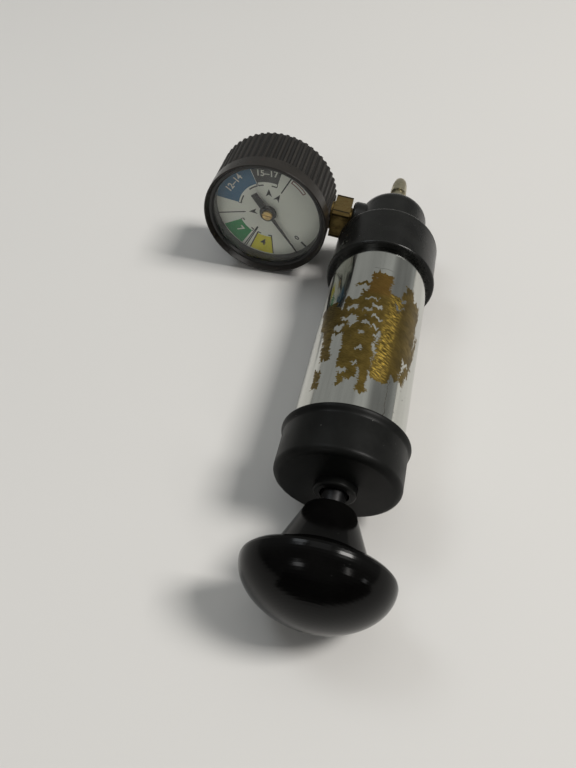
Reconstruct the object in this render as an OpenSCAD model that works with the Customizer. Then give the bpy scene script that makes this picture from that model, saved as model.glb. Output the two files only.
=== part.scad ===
// Radiator pressure tester: a hand pump whose head carries a dial gauge and a hose nozzle.
// It lies on a flat surface, on the rim of its knob, the lip of its head cover and its gauge.
// Pump frame: +Y runs along the barrel to the nozzle, measured from the lip of the rod boot.
// Gauge frame: +Z comes out of the dial, +X runs along the socket to the pump.

/* [Barrel] */
// Outer diameter of the barrel
barrel_d = 38.1; // [36.5:0.1:40]
// Wall of the barrel
barrel_wall = 1.25; // [1:0.05:1.6]
// Length of barrel that shows between the rod boot and the head cover
barrel_show = 76.9; // [60:0.1:110]

/* [Rod boot] */
// Length of the boot, from its lip to its end face
boot_len = 17.4; // [16:0.1:24]
// Wall of the boot's skirt
boot_wall = 1.8; // [1.2:0.05:2]
// How far the boot's lip stands out of its skirt
boot_lip = 0.85; // [0.5:0.05:1.3]
// Thickness of the boot's end wall
boot_end = 1.8; // [1.4:0.1:2.6]
// Diameter of the collar round the rod hole
collar_d = 14; // [12:0.1:18]
// Height of the collar
collar_h = 2.8; // [1.5:0.1:4]

/* [Plunger] */
// Diameter of the pump rod
rod_d = 8; // [7:0.1:9]
// Diameter of the rod's two threaded ends
rod_thread_d = 6; // [5:0.1:6.4]
// Length of rod that shows between the boot's collar and the handle when pushed in
rod_show = 5.5; // [4:0.1:12]
// Length of the handle's neck
neck_len = 15.8; // [12:0.1:24]
// Diameter of the neck where it meets the rod
neck_tip_d = 16.4; // [14:0.1:19]
// Diameter of the neck's wide end
neck_base_d = 28.8; // [24:0.1:34]
// Height of the groove between the neck and the knob
neck_groove = 3.5; // [2:0.1:5]
// Diameter at the bottom of the groove
groove_d = 20; // [16:0.1:22]
// Diameter of the knob
knob_d = 46.6; // [45.5:0.1:54]
// Height of the knob's dome
dome_h = 15.3; // [14:0.1:20]
// Roundness of the dome's outline: 2 is an ellipse
dome_power = 1.9; // [1.8:0.05:2.4]
// Height of the knob's rim, from its flat back to its widest line
knob_rim_h = 1.6; // [1.2:0.1:3]
// Diameter of the brass insert in the knob
insert_d = 12; // [10:0.1:14]
// Length of the brass insert
insert_len = 10.5; // [8:0.1:11]
// Thickness of the piston cup's base
cup_base = 2; // [1.5:0.1:2.5]
// Length of the piston cup, with its lip
cup_len = 7.5; // [6:0.1:9]
// Wall of the piston cup's lip
cup_wall = 1.5; // [1.2:0.1:2]
// Thickness of the plate behind the piston cup
backing_h = 3; // [2:0.1:4]
// Thickness of the washer inside the piston cup
follower_h = 1.5; // [1:0.1:2]
// Width of the piston nut across its flats
nut_af = 10; // [9.2:0.1:11]
// Thickness of the piston nut
nut_h = 4; // [3:0.1:5]

/* [Rod guide] */
// Length of the plug that guides the rod
guide_len = 11; // [9:0.1:14]
// Wall of the bushing in the plug
bushing_wall = 1.6; // [1.2:0.1:2.2]
// Thickness of the bushing's flange
bushing_flange = 1.2; // [0.8:0.1:1.6]
// Outer diameter of the rubber bumper ring
bumper_d = 20; // [16:0.1:24]
// Thickness of the bumper ring
bumper_h = 3; // [2:0.1:4]
// Diameter of the screws that hold the plug and the head in the barrel
wall_screw_d = 3; // [2.5:0.1:3.5]

/* [Head] */
// How far the barrel goes into the head cover
barrel_tuck = 17.5; // [15:0.1:20]
// Length of the head's spigot inside the barrel
spigot_len = 10; // [9.6:0.1:13]
// Thickness of the head's flange
flange_h = 3; // [2.5:0.1:5]
// Diameter of the head's outlet boss
boss_d = 25; // [22:0.1:27]
// Length of the outlet boss, beyond the flange
boss_len = 22.7; // [22.5:0.1:26]
// Section of the O-ring on the spigot
oring_d = 2.4; // [2:0.1:2.8]
// Diameter of the air passages
passage_d = 3; // [2.4:0.1:3.4]
// Diameter of the check valve's chamber
chamber_d = 6.4; // [6.2:0.1:7]
// Diameter of the check ball
ball_d = 4.8; // [4.4:0.1:5.2]
// How far the check ball lifts
ball_lift = 1.4; // [0.8:0.1:1.6]
// Wire of the check spring
spring_wire = 0.4; // [0.3:0.05:0.5]
// Turns of the check spring
spring_turns = 5; // [3:1:6]
// Thickness of the plug that holds the check spring
retainer_h = 2.4; // [2:0.1:3]

/* [Head cover] */
// Wall of the cover's skirt
cover_wall = 1.9; // [1.5:0.05:2.3]
// How far the cover's lip stands out of its skirt
cover_lip = 0.7; // [0.4:0.05:0.8]
// Height of the cover's lip
cover_lip_h = 2.2; // [1.8:0.1:4]
// Rounding of the cover's shoulder
shoulder_round = 1.9; // [1:0.1:2.4]
// Wall of the cover's nose and of its shoulder
nose_wall = 2.1; // [1.6:0.1:2.6]
// Rounding of the nose's end
nose_round = 6; // [4:0.1:7]
// Diameter of the sleeve round the gauge port
sleeve_d = 16; // [14.5:0.1:17]
// How far the sleeve reaches from the barrel's axis
sleeve_reach = 18; // [17.6:0.1:19]

/* [Hose nozzle] */
// Length of the nozzle, from its hexagon to its tip
nozzle_len = 23.6; // [20:0.1:34]
// Diameter of the nozzle's stem
nozzle_stem_d = 5.3; // [4.6:0.1:6]
// Diameter of the barb
barb_d = 7.1; // [6.4:0.1:8.5]
// Length of the straight land on the barb
barb_land = 1.5; // [1.2:0.1:3]
// Length of the barb's rounded nose
barb_nose = 8.6; // [6:0.1:10]
// Diameter of the hole through the nozzle
nozzle_bore_d = 2.6; // [2:0.1:3]
// Diameter of the nozzle's thread
nozzle_thread_d = 5.8; // [5.2:0.1:6]
// Width of the nozzle's hexagon across its flats
nozzle_af = 8; // [7.5:0.1:9]
// Height of the nozzle's hexagon
nozzle_hex_h = 3.6; // [3:0.1:5]
// Thickness of the nozzle's sealing washer
nozzle_washer_h = 1; // [0.6:0.1:1.4]

/* [Gauge] */
// Distance from the barrel's axis to the gauge's axis
gauge_reach = 53.2; // [52:0.1:60]
// Angle at which the gauge is screwed in, face up
gauge_turn = 1.7; // [0:0.1:5]
// Distance from the end of the outlet boss back to the gauge port
port_back = 7.4; // [7:0.1:8]
// Diameter of the gauge case
case_d = 50.2; // [48:0.1:51]
// Wall of the gauge case
case_wall = 0.7; // [0.6:0.05:0.9]
// Height of the dial's face above the socket's axis
dial_z = 7.1; // [6.9:0.05:8]
// Thickness of the dial
dial_h = 0.5; // [0.4:0.05:0.6]
// Depth of the case behind the socket's axis
case_back = 8.4; // [7.8:0.1:10]
// Height of the spacer ring, from the dial to the lens
spacer_h = 4.5; // [4.5:0.1:6]
// Thickness of the lens
lens_h = 1.3; // [1:0.1:2]
// Thickness of the bezel's front lip
bezel_lip_h = 0.9; // [0.6:0.1:1.4]
// Wall of the rubber cover, without its ribs
grip_wall = 0.9; // [0.8:0.05:1.6]
// Height of the ribs on the cover
rib_h = 0.8; // [0.5:0.05:1.1]
// Number of ribs round the cover
rib_count = 58; // [48:1:64]
// Height of the smooth band in front of the ribs
band_h = 6.4; // [5:0.1:8]
// How far the cover stands in front of the bezel
cover_front = 2; // [1:0.1:4]
// Thickness of the cover's back wall
grip_back = 1.7; // [1.2:0.1:2.5]

/* [Gauge socket] */
// Width of the brass socket across its flats
socket_w = 13.6; // [12.6:0.1:15]
// Length of socket that shows between its square and the head cover's sleeve
neck_show = 0.8; // [0.5:0.1:3]
// Diameter of the socket's thread
socket_thread_d = 9.7; // [9:0.1:10.2]

/* [Gauge movement] */
// Radius of the Bourdon tube
tube_r = 18; // [17.5:0.1:18.5]
// Width of the Bourdon tube
tube_w = 6; // [5:0.1:6.2]
// Thickness of the Bourdon tube
tube_t = 2; // [1.6:0.1:2.4]
// Size of the gear teeth (module)
tooth_module = 0.25; // [0.22:0.01:0.26]
// Teeth on the pointer's pinion
pinion_teeth = 12; // [11:1:13]
// Teeth on a full circle of the sector gear
sector_teeth = 96; // [92:1:98]
// Sweep of the pointer, in degrees
pointer_sweep = 262; // [240:1:270]
// Pointer's angle at rest, in degrees from the socket
pointer_rest = -48.5; // [-60:0.5:-30]
// Gap between the pointer's tip and the spacer ring
pointer_gap = 0.5; // [0.4:0.1:1.5]
// Length of the pointer's tail
tail_len = 10.5; // [8:0.1:12]
// Thickness of the movement's two plates
plate_h = 0.7; // [0.5:0.05:0.8]
// Length of the sector's tail, from its arbor to the link
crank_len = 5.5; // [5:0.1:6]

/* [Hidden] */
$fn = 64;

// Clearances: pieces that seat on each other, pieces that run in each other, an open gap
seat = 0.03;
run = 0.05;
gap = 0.3;
eps = 0.01;        // how far a cut runs past a face
arc_steps = 10;    // straight pieces in a round corner

black = [0.06, 0.06, 0.065];
rubber = [0.09, 0.085, 0.08];
chrome = [0.82, 0.83, 0.85];
steel = [0.62, 0.63, 0.65];
zinc = [0.55, 0.56, 0.57];
brass = [0.72, 0.56, 0.26];
nylon = [0.85, 0.83, 0.76];

// Barrel and its two ends, along the pump's axis
barrel_r = barrel_d / 2;
bore_r = barrel_r - barrel_wall;
barrel_y0 = -(boot_len - boot_end) + seat;
barrel_y1 = barrel_show + barrel_tuck;
guide_y1 = barrel_y0 + guide_len;
rod_r = rod_d / 2;
bushing_r = rod_r + run + bushing_wall;
bumper_y1 = guide_y1 + bushing_flange + bumper_h + 2 * seat;
boot_r = barrel_r + seat + boot_wall;
boot_lip_r = boot_r + boot_lip;
collar_y = -boot_len - collar_h;
cover_r = barrel_r + seat + cover_wall;
cover_lip_r = cover_r + cover_lip;
screw_back = guide_len / 2;               // from the barrel's rod end to its screws
screw_front = 3.6;                        // from the head's flange to its screws
screw_len = 4.5;
screw_head_d = wall_screw_d * 1.8;
screw_sink = 0.25;                        // depth of the screw's head below the barrel's surface

// Head, along the pump's axis
head_y0 = barrel_y1 - spigot_len;
flange_y1 = barrel_y1 + seat + flange_h;
boss_y1 = flange_y1 + boss_len;
boss_round = nose_round - nose_wall;
port_y = boss_y1 - port_back;
shoulder_y = flange_y1 + seat + nose_wall;
nose_r = boss_d / 2 + seat + nose_wall;
nose_y = boss_y1 + seat + nose_wall;
oring_y = head_y0 + 1.8;
oring_squeeze = 0.82;                     // squeezed depth of the ring over its section
groove_r = bore_r - oring_squeeze * oring_d;
seat_y = flange_y1 + 1.6;                 // sharp edge that the check ball closes
ball_r = ball_d / 2;
ball_y = seat_y + sqrt(pow(ball_r, 2) - pow(passage_d / 2, 2)) + run;
spring_y0 = ball_y + ball_r * 0.8;
spring_spare = 0.6;                       // length left in the spring with the ball fully up
retainer_y = spring_y0 + (spring_turns + 1) * spring_wire + ball_lift + spring_spare;
nozzle_y0 = port_y + passage_d / 2 + 1.4; // inner end of the nozzle's thread
nozzle_hex_y = boss_y1 + nozzle_washer_h + 2 * seat;
port_boss_d = 12;
port_reach = sleeve_reach - 1.2;          // end of the port boss, from the barrel's axis
thread_reach = 9.2;                       // inner end of the socket's thread, likewise

// Plunger, along the pump's axis
stop_gap = 0.5;
nut_y1 = head_y0 - stop_gap;
nut_y0 = nut_y1 - nut_h;
follower_y0 = nut_y0 - seat - follower_h;
cup_y0 = follower_y0 - seat - cup_base;
backing_y0 = cup_y0 - seat - backing_h;
neck_y1 = collar_y - rod_show;
neck_y0 = neck_y1 - neck_len;
knob_y = neck_y0 - neck_groove;           // flat back of the knob
knob_r = knob_d / 2;
rim_y = knob_y - knob_rim_h;
thread_r = rod_thread_d / 2;

// Gauge, along the dial's axis from the socket's axis
case_r = case_d / 2;
case_neck_r = case_r - 0.6;
dial_back = dial_z - dial_h;
lens_z0 = dial_z + spacer_h + 2 * seat;
lens_z1 = lens_z0 + lens_h;
bezel_z1 = lens_z1 + seat + bezel_lip_h;
socket_neck_r = 6;
bezel_z0 = socket_neck_r + gap;
grip_z0 = -case_back - seat - grip_back;
grip_z1 = bezel_z1 + cover_front;
band_z = grip_z1 - band_h;
grip_r = case_r + seat + grip_wall;
rib_r = grip_r + rib_h;
crest_r = rib_r - 0.15;                   // over the ribs, just under the smooth band
dial_r = case_neck_r - case_wall - seat;
spacer_wall = 0.3;
pointer_len = dial_r - spacer_wall - pointer_gap;
grip_round = 1.5;

// How it lies: knob rim, cover lip and the gauge's lowest ring all touch the surface
tilt = atan((knob_r - cover_lip_r) / (barrel_show - rim_y));
axis_z = knob_r * cos(tilt) + rim_y * sin(tilt);
face_up = gauge_turn + tilt;
front_lift = rib_r * cos(face_up) - (grip_z1 - 0.5) * sin(face_up);
back_lift = crest_r * cos(face_up) - (grip_z0 + 0.9) * sin(face_up);
port_z = axis_z - port_y * sin(tilt);
gauge_rise = asin((max(front_lift, back_lift) - port_z) / (gauge_reach * cos(tilt)));
left_x = -gauge_reach * cos(gauge_rise) - rib_r;
nozzle_y1 = nozzle_hex_y + nozzle_hex_h + nozzle_len;
tail_y = rim_y - dome_h;
origin_x = -(left_x + knob_r) / 2;
origin_y = -(nozzle_y1 + tail_y) / 2 * cos(tilt);

// Socket: from the pump's thread to the block that carries the movement
square_x = rib_r + gap;                   // where the square starts, from the gauge's axis
square_x1 = gauge_reach - sleeve_reach - neck_show;
socket_x1 = gauge_reach - thread_reach;
block_x0 = 9.5;
block_y = 6.5;
block_x1 = sqrt(pow(case_r - case_wall - gap, 2) - pow(block_y, 2));
block_z0 = -5.2;
block_z1 = 1.6;

// Movement: levels above the socket's axis
pinion_r = pinion_teeth * tooth_module / 2;
sector_r = sector_teeth * tooth_module / 2;
sector_turn = pointer_sweep * pinion_teeth / sector_teeth;
sector_angle = -12;                       // direction of the sector's arbor
sector_at = (pinion_r + sector_r) * [cos(sector_angle), sin(sector_angle)];
tooth_tip = 0.7;                          // tooth height above the pitch line, in modules
tooth_root = 1;                           // tooth depth below the pitch line, in modules
tooth_slack = 0.03;                       // backlash left on each tooth
pressure_angle = 20;
back_plate_z = block_z1 + seat;
pillar_z = back_plate_z + plate_h;
front_plate_z = dial_back - 0.75 - plate_h;
sector_z = pillar_z + 0.7;
sector_h = 0.8;
link_gap = 0.12;                          // above and below the link
link_z = sector_z + sector_h + link_gap;
link_h = 0.45;
rivet_h = 0.3;
pivot_r = 0.5;
arbor_r = 0.8;
pillar_at = [[-7, 5], [9.5, -11.2]];
pillar_r = 1.5;
pillar_screw_h = 1.5;                     // how far a screw reaches into a pillar
pad_r = 3;                                // corner of a plate round a pillar
leg_w = 6;                                // width of the plates' leg
plate_x0 = -6;                            // edges of the plates
plate_y0 = -4;
plate_y1 = 6.5;
front_x1 = 16.4;
foot_y0 = -6.4;
foot_x1 = block_x1 - gap;
plate_screw_at = [[foot_x1 - 1.7, -4.4], [foot_x1 - 1.7, 4.6]];
tube_tip_angle = 66;
tube_root_angle = -14;
tube_slot_angle = -40;                    // end of the slot for the tube in the socket's block
tube_z = -2.2;
tip_at = tube_r * [cos(tube_tip_angle), sin(tube_tip_angle)];
tip_vector = tip_at - sector_at;
tip_dist = norm(tip_vector);
crank_angle = atan2(tip_vector[1], tip_vector[0]) - acos(crank_len / tip_dist);
crank_at = sector_at + crank_len * [cos(crank_angle), sin(crank_angle)];
link_vector = tip_at - crank_at;
link_len = norm(link_vector);
link_angle = atan2(link_vector[1], link_vector[0]);
link_slack = crank_len * (1 - cos(sector_turn / 2)) + link_gap;
pointer_z = dial_z + 1.7;
pointer_h = 0.5;
hub_r = 3.8;
cap_r = 2.4;
hub_h = 1.5;
cap_h = 0.9;
cap_sink = 0.6;                           // how deep the arbor's cap sits in the hub
spring_r0 = 1.5;
spring_r1 = 4.6;
spring_strip = 0.14;
spring_h = 0.45;
spring_z = front_plate_z - 0.3 - spring_h;
hair_turns = 3.5;
stud_r = 0.4;
stud_at = [spring_r1 + spring_strip / 2 + stud_r + seat, 0];

// Placing: the pump on its surface, a piece at y on the pump's axis, the port and the gauge
module lie() {
    translate([origin_x, origin_y, axis_z]) rotate([-tilt, 0, 0]) children();
}
module on_pump(y) {
    lie() translate([0, y, 0]) rotate([-90, 0, 0]) children();
}
module on_port() {
    lie() translate([0, port_y, 0]) rotate([0, gauge_rise - 90, 0]) children();
}
module on_gauge() {
    lie() translate([0, port_y, 0]) rotate([0, gauge_rise, 0])
        translate([-gauge_reach, 0, 0]) rotate([90 - gauge_turn, 0, 0]) children();
}

// Shapes that several pieces share
function arc(x, y, r, a0, a1) =
    [for (i = [0:arc_steps]) let (a = a0 + (a1 - a0) * i / arc_steps) [x + r * cos(a), y + r * sin(a)]];
function involute_angle(a) = tan(a) * 180 / PI - a;
function flank_angle(r, pitch_r, half) =
    half + involute_angle(pressure_angle) - involute_angle(acos(pitch_r * cos(pressure_angle) / r));
function polar(r, a) = [r * cos(a), r * sin(a)];

module turned(outline) {
    rotate_extrude() polygon(outline);
}
module ring(r1, r0, h) {
    difference() {
        cylinder(r = r1, h = h);
        translate([0, 0, -eps]) cylinder(r = r0, h = h + 2 * eps);
    }
}
module hexagon(af, h) {
    intersection() {
        cylinder(d = af / cos(30), h = h, $fn = 6);
        turned([[0, 0], [af / 2, 0], [af / 2 + h, h / 2], [af / 2, h], [0, h]]);
    }
}
// One gear tooth, centred on angle 0
module tooth(pitch_r, half) {
    base_r = pitch_r * cos(pressure_angle);
    root_r = pitch_r - tooth_root * tooth_module;
    low_r = max(base_r, root_r) + eps;
    tip_r = pitch_r + tooth_tip * tooth_module;
    radii = [for (i = [0:4]) low_r + (tip_r - low_r) * i / 4];
    angles = [for (r = radii) flank_angle(r, pitch_r, half)];
    deep = root_r - tooth_module / 2;
    polygon(concat([polar(deep, -angles[0])], [for (i = [0:4]) polar(radii[i], -angles[i])],
        [for (i = [4:-1:0]) polar(radii[i], angles[i])], [polar(deep, angles[0])]));
}
function tooth_half(teeth) = 90 / teeth - tooth_slack / 2 / (teeth * tooth_module / 2) * 180 / PI;

// Barrel, its plug and its screws
module barrel_screw_places() {
    for (y = [barrel_y0 + screw_back, barrel_y1 - screw_front])
        for (a = [90, 210, 330])
            on_pump(y) rotate([0, 0, a]) translate([barrel_r, 0, 0]) rotate([0, -90, 0]) children();
}
module barrel_screw(grow) {
    head_h = (screw_head_d - wall_screw_d) / 2;
    translate([0, 0, screw_sink - grow]) {
        cylinder(d1 = screw_head_d + 2 * grow, d2 = wall_screw_d + 2 * grow, h = head_h);
        cylinder(d = wall_screw_d + 2 * grow, h = screw_len + 2 * grow);
    }
    if (grow > 0) translate([0, 0, -1])
        cylinder(d = screw_head_d + 2 * grow, h = 1 + screw_sink - grow + eps);
}
module barrel_screws() {
    slot_w = 0.6;
    slot_h = 0.4;
    color(steel) barrel_screw_places() difference() {
        barrel_screw(0);
        translate([-screw_head_d / 2, -slot_w / 2, 0]) cube([screw_head_d, slot_w, screw_sink + slot_h]);
    }
}
module barrel() {
    color(chrome) difference() {
        on_pump(barrel_y0) ring(barrel_r, bore_r, barrel_y1 - barrel_y0);
        barrel_screw_places() barrel_screw(seat);
    }
}
module rod_guide() {
    face = 2.2;
    color(zinc) difference() {
        on_pump(barrel_y0) turned([[bushing_r + seat, 0], [bore_r - face / 2, 0], [bore_r - seat, face / 2],
            [bore_r - seat, guide_len], [bushing_r + seat, guide_len]]);
        barrel_screw_places() barrel_screw(seat);
    }
}
module rod_bushing() {
    flange_w = 2;
    color(nylon) on_pump(barrel_y0) difference() {
        union() {
            cylinder(r = bushing_r, h = guide_len + eps);
            translate([0, 0, guide_len + seat]) cylinder(r = bushing_r + flange_w, h = bushing_flange);
            translate([0, 0, guide_len]) cylinder(r = bushing_r, h = bushing_flange);
        }
        translate([0, 0, -1]) cylinder(r = rod_r + run, h = guide_len + bushing_flange + 2);
    }
}
module bumper_ring() {
    edge = 0.6;
    inner = rod_r + gap;
    outer = bumper_d / 2;
    color(rubber) on_pump(bumper_y1 - bumper_h)
        turned([[inner, 0], [outer - edge, 0], [outer, edge], [outer, bumper_h - edge],
            [outer - edge, bumper_h], [inner, bumper_h]]);
}
module rod_boot() {
    lip_h = 3.2;
    lip_round = 0.5;
    flare = [for (i = [1:arc_steps]) let (t = i / arc_steps)
        [boot_r + boot_lip * (1 + cos(180 * t)) / 2, lip_round + (lip_h - lip_round) * t]];
    inner = barrel_r + seat;
    round = 2.4;
    hole = rod_r + 0.8;
    floor_z = boot_len - boot_end;
    ring_r = collar_d / 2;
    edge = 0.9;
    color(black) on_pump(0) rotate([180, 0, 0]) turned(concat(
        [[inner, 0]], arc(boot_lip_r - lip_round, lip_round, lip_round, -90, 0), flare,
        arc(boot_r - round, boot_len - round, round, 0, 90), [[ring_r, boot_len]],
        arc(ring_r - edge, boot_len + collar_h - edge, edge, 0, 90),
        [[hole, boot_len + collar_h], [hole, floor_z], [inner, floor_z]]));
}

// Head: body, seal, check valve and hose nozzle
module head() {
    edge = 0.8;
    color(zinc) difference() {
        union() {
            on_pump(0) turned(concat(
                [[0, head_y0], [bore_r - seat - edge, head_y0], [bore_r - seat, head_y0 + edge],
                 [bore_r - seat, barrel_y1 + seat], [barrel_r, barrel_y1 + seat], [barrel_r, flange_y1],
                 [boss_d / 2, flange_y1]],
                arc(boss_d / 2 - boss_round, boss_y1 - boss_round, boss_round, 0, 90), [[0, boss_y1]]));
            on_port() cylinder(d = port_boss_d, h = port_reach);
        }
        on_pump(oring_y) ring(barrel_r, groove_r, oring_d);
        on_pump(head_y0 - 1) cylinder(d = passage_d, h = seat_y - head_y0 + 2);
        on_pump(seat_y) cylinder(d1 = passage_d, d2 = chamber_d, h = (chamber_d - passage_d) / 2);
        on_pump(seat_y + (chamber_d - passage_d) / 2 - eps)
            cylinder(d = chamber_d, h = nozzle_y0 - seat_y - (chamber_d - passage_d) / 2);
        on_pump(nozzle_y0 - 2 * eps) cylinder(d = nozzle_thread_d + 2 * seat, h = boss_y1);
        on_port() cylinder(d = passage_d, h = port_reach + 1);
        on_port() translate([0, 0, thread_reach - seat])
            cylinder(d = socket_thread_d + 2 * seat, h = port_reach);
        barrel_screw_places() barrel_screw(seat);
    }
}
module head_o_ring() {
    ring_c = (groove_r + bore_r) / 2;
    half = (bore_r - groove_r) / 2 - seat / 2;
    color(rubber) on_pump(oring_y + oring_d / 2) rotate_extrude() translate([ring_c, 0])
        intersection() {
            circle(d = oring_d - 2 * seat);
            square([2 * half, oring_d], center = true);
        }
}
module check_ball() {
    color(steel) on_pump(ball_y) sphere(r = ball_r);
}
module check_spring() {
    coil_r = ball_r * 0.75;
    rise = retainer_y - spring_y0 - 2 * spring_wire;
    sides = 6;
    per_turn = 12;
    rings = spring_turns * per_turn;
    points = [for (i = [0:rings], j = [0:sides - 1])
        let (a = i * 360 / per_turn, b = j * 360 / sides, r = coil_r + spring_wire / 2 * cos(b))
        [r * cos(a), r * sin(a), spring_wire + rise * i / rings + spring_wire / 2 * sin(b)]];
    walls = [for (i = [0:rings - 1], j = [0:sides - 1])
        let (a = i * sides + j, b = i * sides + (j + 1) % sides) [a, a + sides, b + sides, b]];
    ends = [[for (j = [0:sides - 1]) j], [for (j = [sides - 1:-1:0]) rings * sides + j]];
    color(steel) on_pump(spring_y0) polyhedron(points, concat(walls, ends));
}
module spring_retainer() {
    slot_w = 0.8;
    slot_h = 0.8;
    color(brass) on_pump(retainer_y) difference() {
        cylinder(d = chamber_d - 2 * seat, h = retainer_h);
        translate([0, 0, -1]) cylinder(d = passage_d * 0.7, h = retainer_h + 2);
        translate([-chamber_d, -slot_w / 2, retainer_h - slot_h]) cube([2 * chamber_d, slot_w, slot_h + 1]);
    }
}
module nozzle_washer() {
    color("saddlebrown") on_pump(boss_y1 + seat)
        ring(nozzle_af / 2, nozzle_thread_d / 2 + 0.1, nozzle_washer_h);
}
module hose_nozzle() {
    hex_top = nozzle_hex_h;
    barb_z = hex_top + nozzle_len - barb_nose - barb_land;
    stem_r = nozzle_stem_d / 2;
    barb_r = barb_d / 2;
    tip_r = nozzle_bore_d / 2 + 0.45;
    nose_power = 1.7;
    fillet = 0.5;
    barb_edge = 0.15;
    step = 0.4;
    nose = [for (i = [0:arc_steps]) let (t = i / arc_steps)
        [tip_r + (barb_r - tip_r) * sqrt(1 - pow(t, nose_power)), barb_z + barb_land + barb_nose * t]];
    thread_z = nozzle_y0 + gap - nozzle_hex_y;
    bore_h = nozzle_len + hex_top - thread_z + 2;
    color(chrome) on_pump(nozzle_hex_y) difference() {
        union() {
            hexagon(nozzle_af, nozzle_hex_h);
            translate([0, 0, thread_z]) cylinder(d = nozzle_thread_d, h = eps - thread_z);
            turned(concat([[0, hex_top - eps], [stem_r + fillet, hex_top - eps], [stem_r, hex_top + fillet],
                [stem_r, barb_z - step], [barb_r - barb_edge, barb_z - barb_edge], [barb_r, barb_z]], nose,
                [[0, hex_top + nozzle_len]]));
        }
        translate([0, 0, thread_z - 1]) cylinder(d = nozzle_bore_d, h = bore_h);
    }
}
module head_cover() {
    bead = 1.1;
    lip_slope = 0.6;
    sleeve_round = 1.8;
    inner_r = barrel_r + seat;
    boss_hole = nozzle_af / 2 / cos(30) + gap;
    color(rubber) difference() {
        union() {
            on_pump(0) turned(concat(
                [[0, barrel_show + 1], [inner_r, barrel_show]],
                arc(cover_lip_r - bead, barrel_show + bead, bead, -90, 0),
                [[cover_lip_r, barrel_show + cover_lip_h - lip_slope], [cover_r, barrel_show + cover_lip_h]],
                arc(cover_r - shoulder_round, shoulder_y - shoulder_round, shoulder_round, 0, 90),
                [[nose_r, shoulder_y]],
                arc(nose_r - nose_round, nose_y - nose_round, nose_round, 0, 90), [[0, nose_y]]));
            on_port() turned(concat([[0, 0], [sleeve_d / 2, 0]],
                arc(sleeve_d / 2 - sleeve_round, sleeve_reach - sleeve_round, sleeve_round, 0, 90),
                [[0, sleeve_reach]]));
        }
        on_pump(0) turned(concat(
            [[0, barrel_show - 1], [inner_r, barrel_show - 1], [inner_r, flange_y1 + seat],
             [boss_d / 2 + seat, flange_y1 + seat]],
            arc(boss_d / 2 + seat - boss_round, boss_y1 + seat - boss_round, boss_round, 0, 90),
            [[0, boss_y1 + seat]]));
        on_port() cylinder(d = port_boss_d + 2 * seat, h = port_reach + seat);
        on_port() cylinder(d = socket_thread_d + 2 * gap, h = sleeve_reach + 1);
        on_pump(boss_y1 - 1) cylinder(r = boss_hole, h = nose_wall + 3);
    }
}

// Plunger: rod, piston and handle
module pump_rod() {
    front = nut_y1 - knob_y;
    shoulder = backing_y0 - knob_y;
    insert_end = -(insert_len - 1);
    edge = 0.6;
    color([0.2, 0.2, 0.21]) on_pump(knob_y) turned([[0, insert_end], [thread_r - edge, insert_end],
        [thread_r, insert_end + edge], [thread_r, gap], [rod_r - seat, gap], [rod_r - seat, shoulder - seat],
        [rod_r, shoulder - seat], [thread_r, shoulder - seat], [thread_r, front - edge],
        [thread_r - edge, front], [0, front]]);
}
module piston_backing() {
    edge = 0.5;
    outer = bore_r - gap;
    color(zinc) on_pump(backing_y0) turned([[thread_r + seat, 0], [outer - edge, 0], [outer, edge],
        [outer, backing_h], [thread_r + seat, backing_h]]);
}
module piston_cup() {
    outer = bore_r - run;
    inner = outer - cup_wall;
    edge = 0.6;
    corner = 0.8;
    lip_w = cup_wall * 0.6;
    color("saddlebrown") on_pump(cup_y0) turned([[thread_r + seat, 0], [outer - edge, 0], [outer, edge],
        [outer, cup_len], [outer - lip_w, cup_len], [inner, cup_base + corner],
        [inner - corner, cup_base], [thread_r + seat, cup_base]]);
}
module piston_follower() {
    outer = bore_r - run - 2 * cup_wall;
    color(steel) on_pump(follower_y0) ring(outer, thread_r + seat, follower_h);
}
module piston_nut() {
    color(steel) on_pump(nut_y0) difference() {
        hexagon(nut_af, nut_h);
        translate([0, 0, -1]) cylinder(r = thread_r + seat, h = nut_h + 2);
    }
}
module handle_neck() {
    edge = 0.6;
    foot_z = seat - neck_groove;
    tip_r = neck_tip_d / 2;
    base_r = neck_base_d / 2;
    color(black) on_pump(neck_y0) turned([[rod_r + seat, foot_z], [groove_d / 2, foot_z], [groove_d / 2, 0],
        [base_r - edge, 0], [base_r, edge], [tip_r, neck_len - edge], [tip_r - edge, neck_len],
        [rod_r + seat, neck_len]]);
}
module handle_knob() {
    rim_edge = 1;
    rim_step = 0.2;
    dome_steps = 28;
    dome = [for (i = [0:dome_steps]) let (a = 90 * i / dome_steps)
        [knob_r * pow(cos(a), 2 / dome_power), knob_rim_h + dome_h * pow(sin(a), 2 / dome_power)]];
    insert_r = insert_d / 2 + seat;
    color(black) on_pump(knob_y) rotate([180, 0, 0]) difference() {
        turned(concat([[0, 0], [knob_r - rim_edge, 0], [knob_r - rim_step, knob_rim_h / 2]], dome,
            [[0, knob_rim_h + dome_h]]));
        translate([0, 0, -1]) cylinder(r = insert_r, h = insert_len + seat + 1);
    }
}
module knob_insert() {
    outer = insert_d / 2;
    inner = thread_r + seat;
    groove = 0.5;
    third = insert_len / 3;
    color(brass) on_pump(knob_y) rotate([180, 0, 0]) turned([[inner, 0], [outer, 0], [outer, third],
        [outer - groove, third + groove], [outer - groove, 2 * third - groove], [outer, 2 * third],
        [outer, insert_len], [inner, insert_len]]);
}

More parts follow.
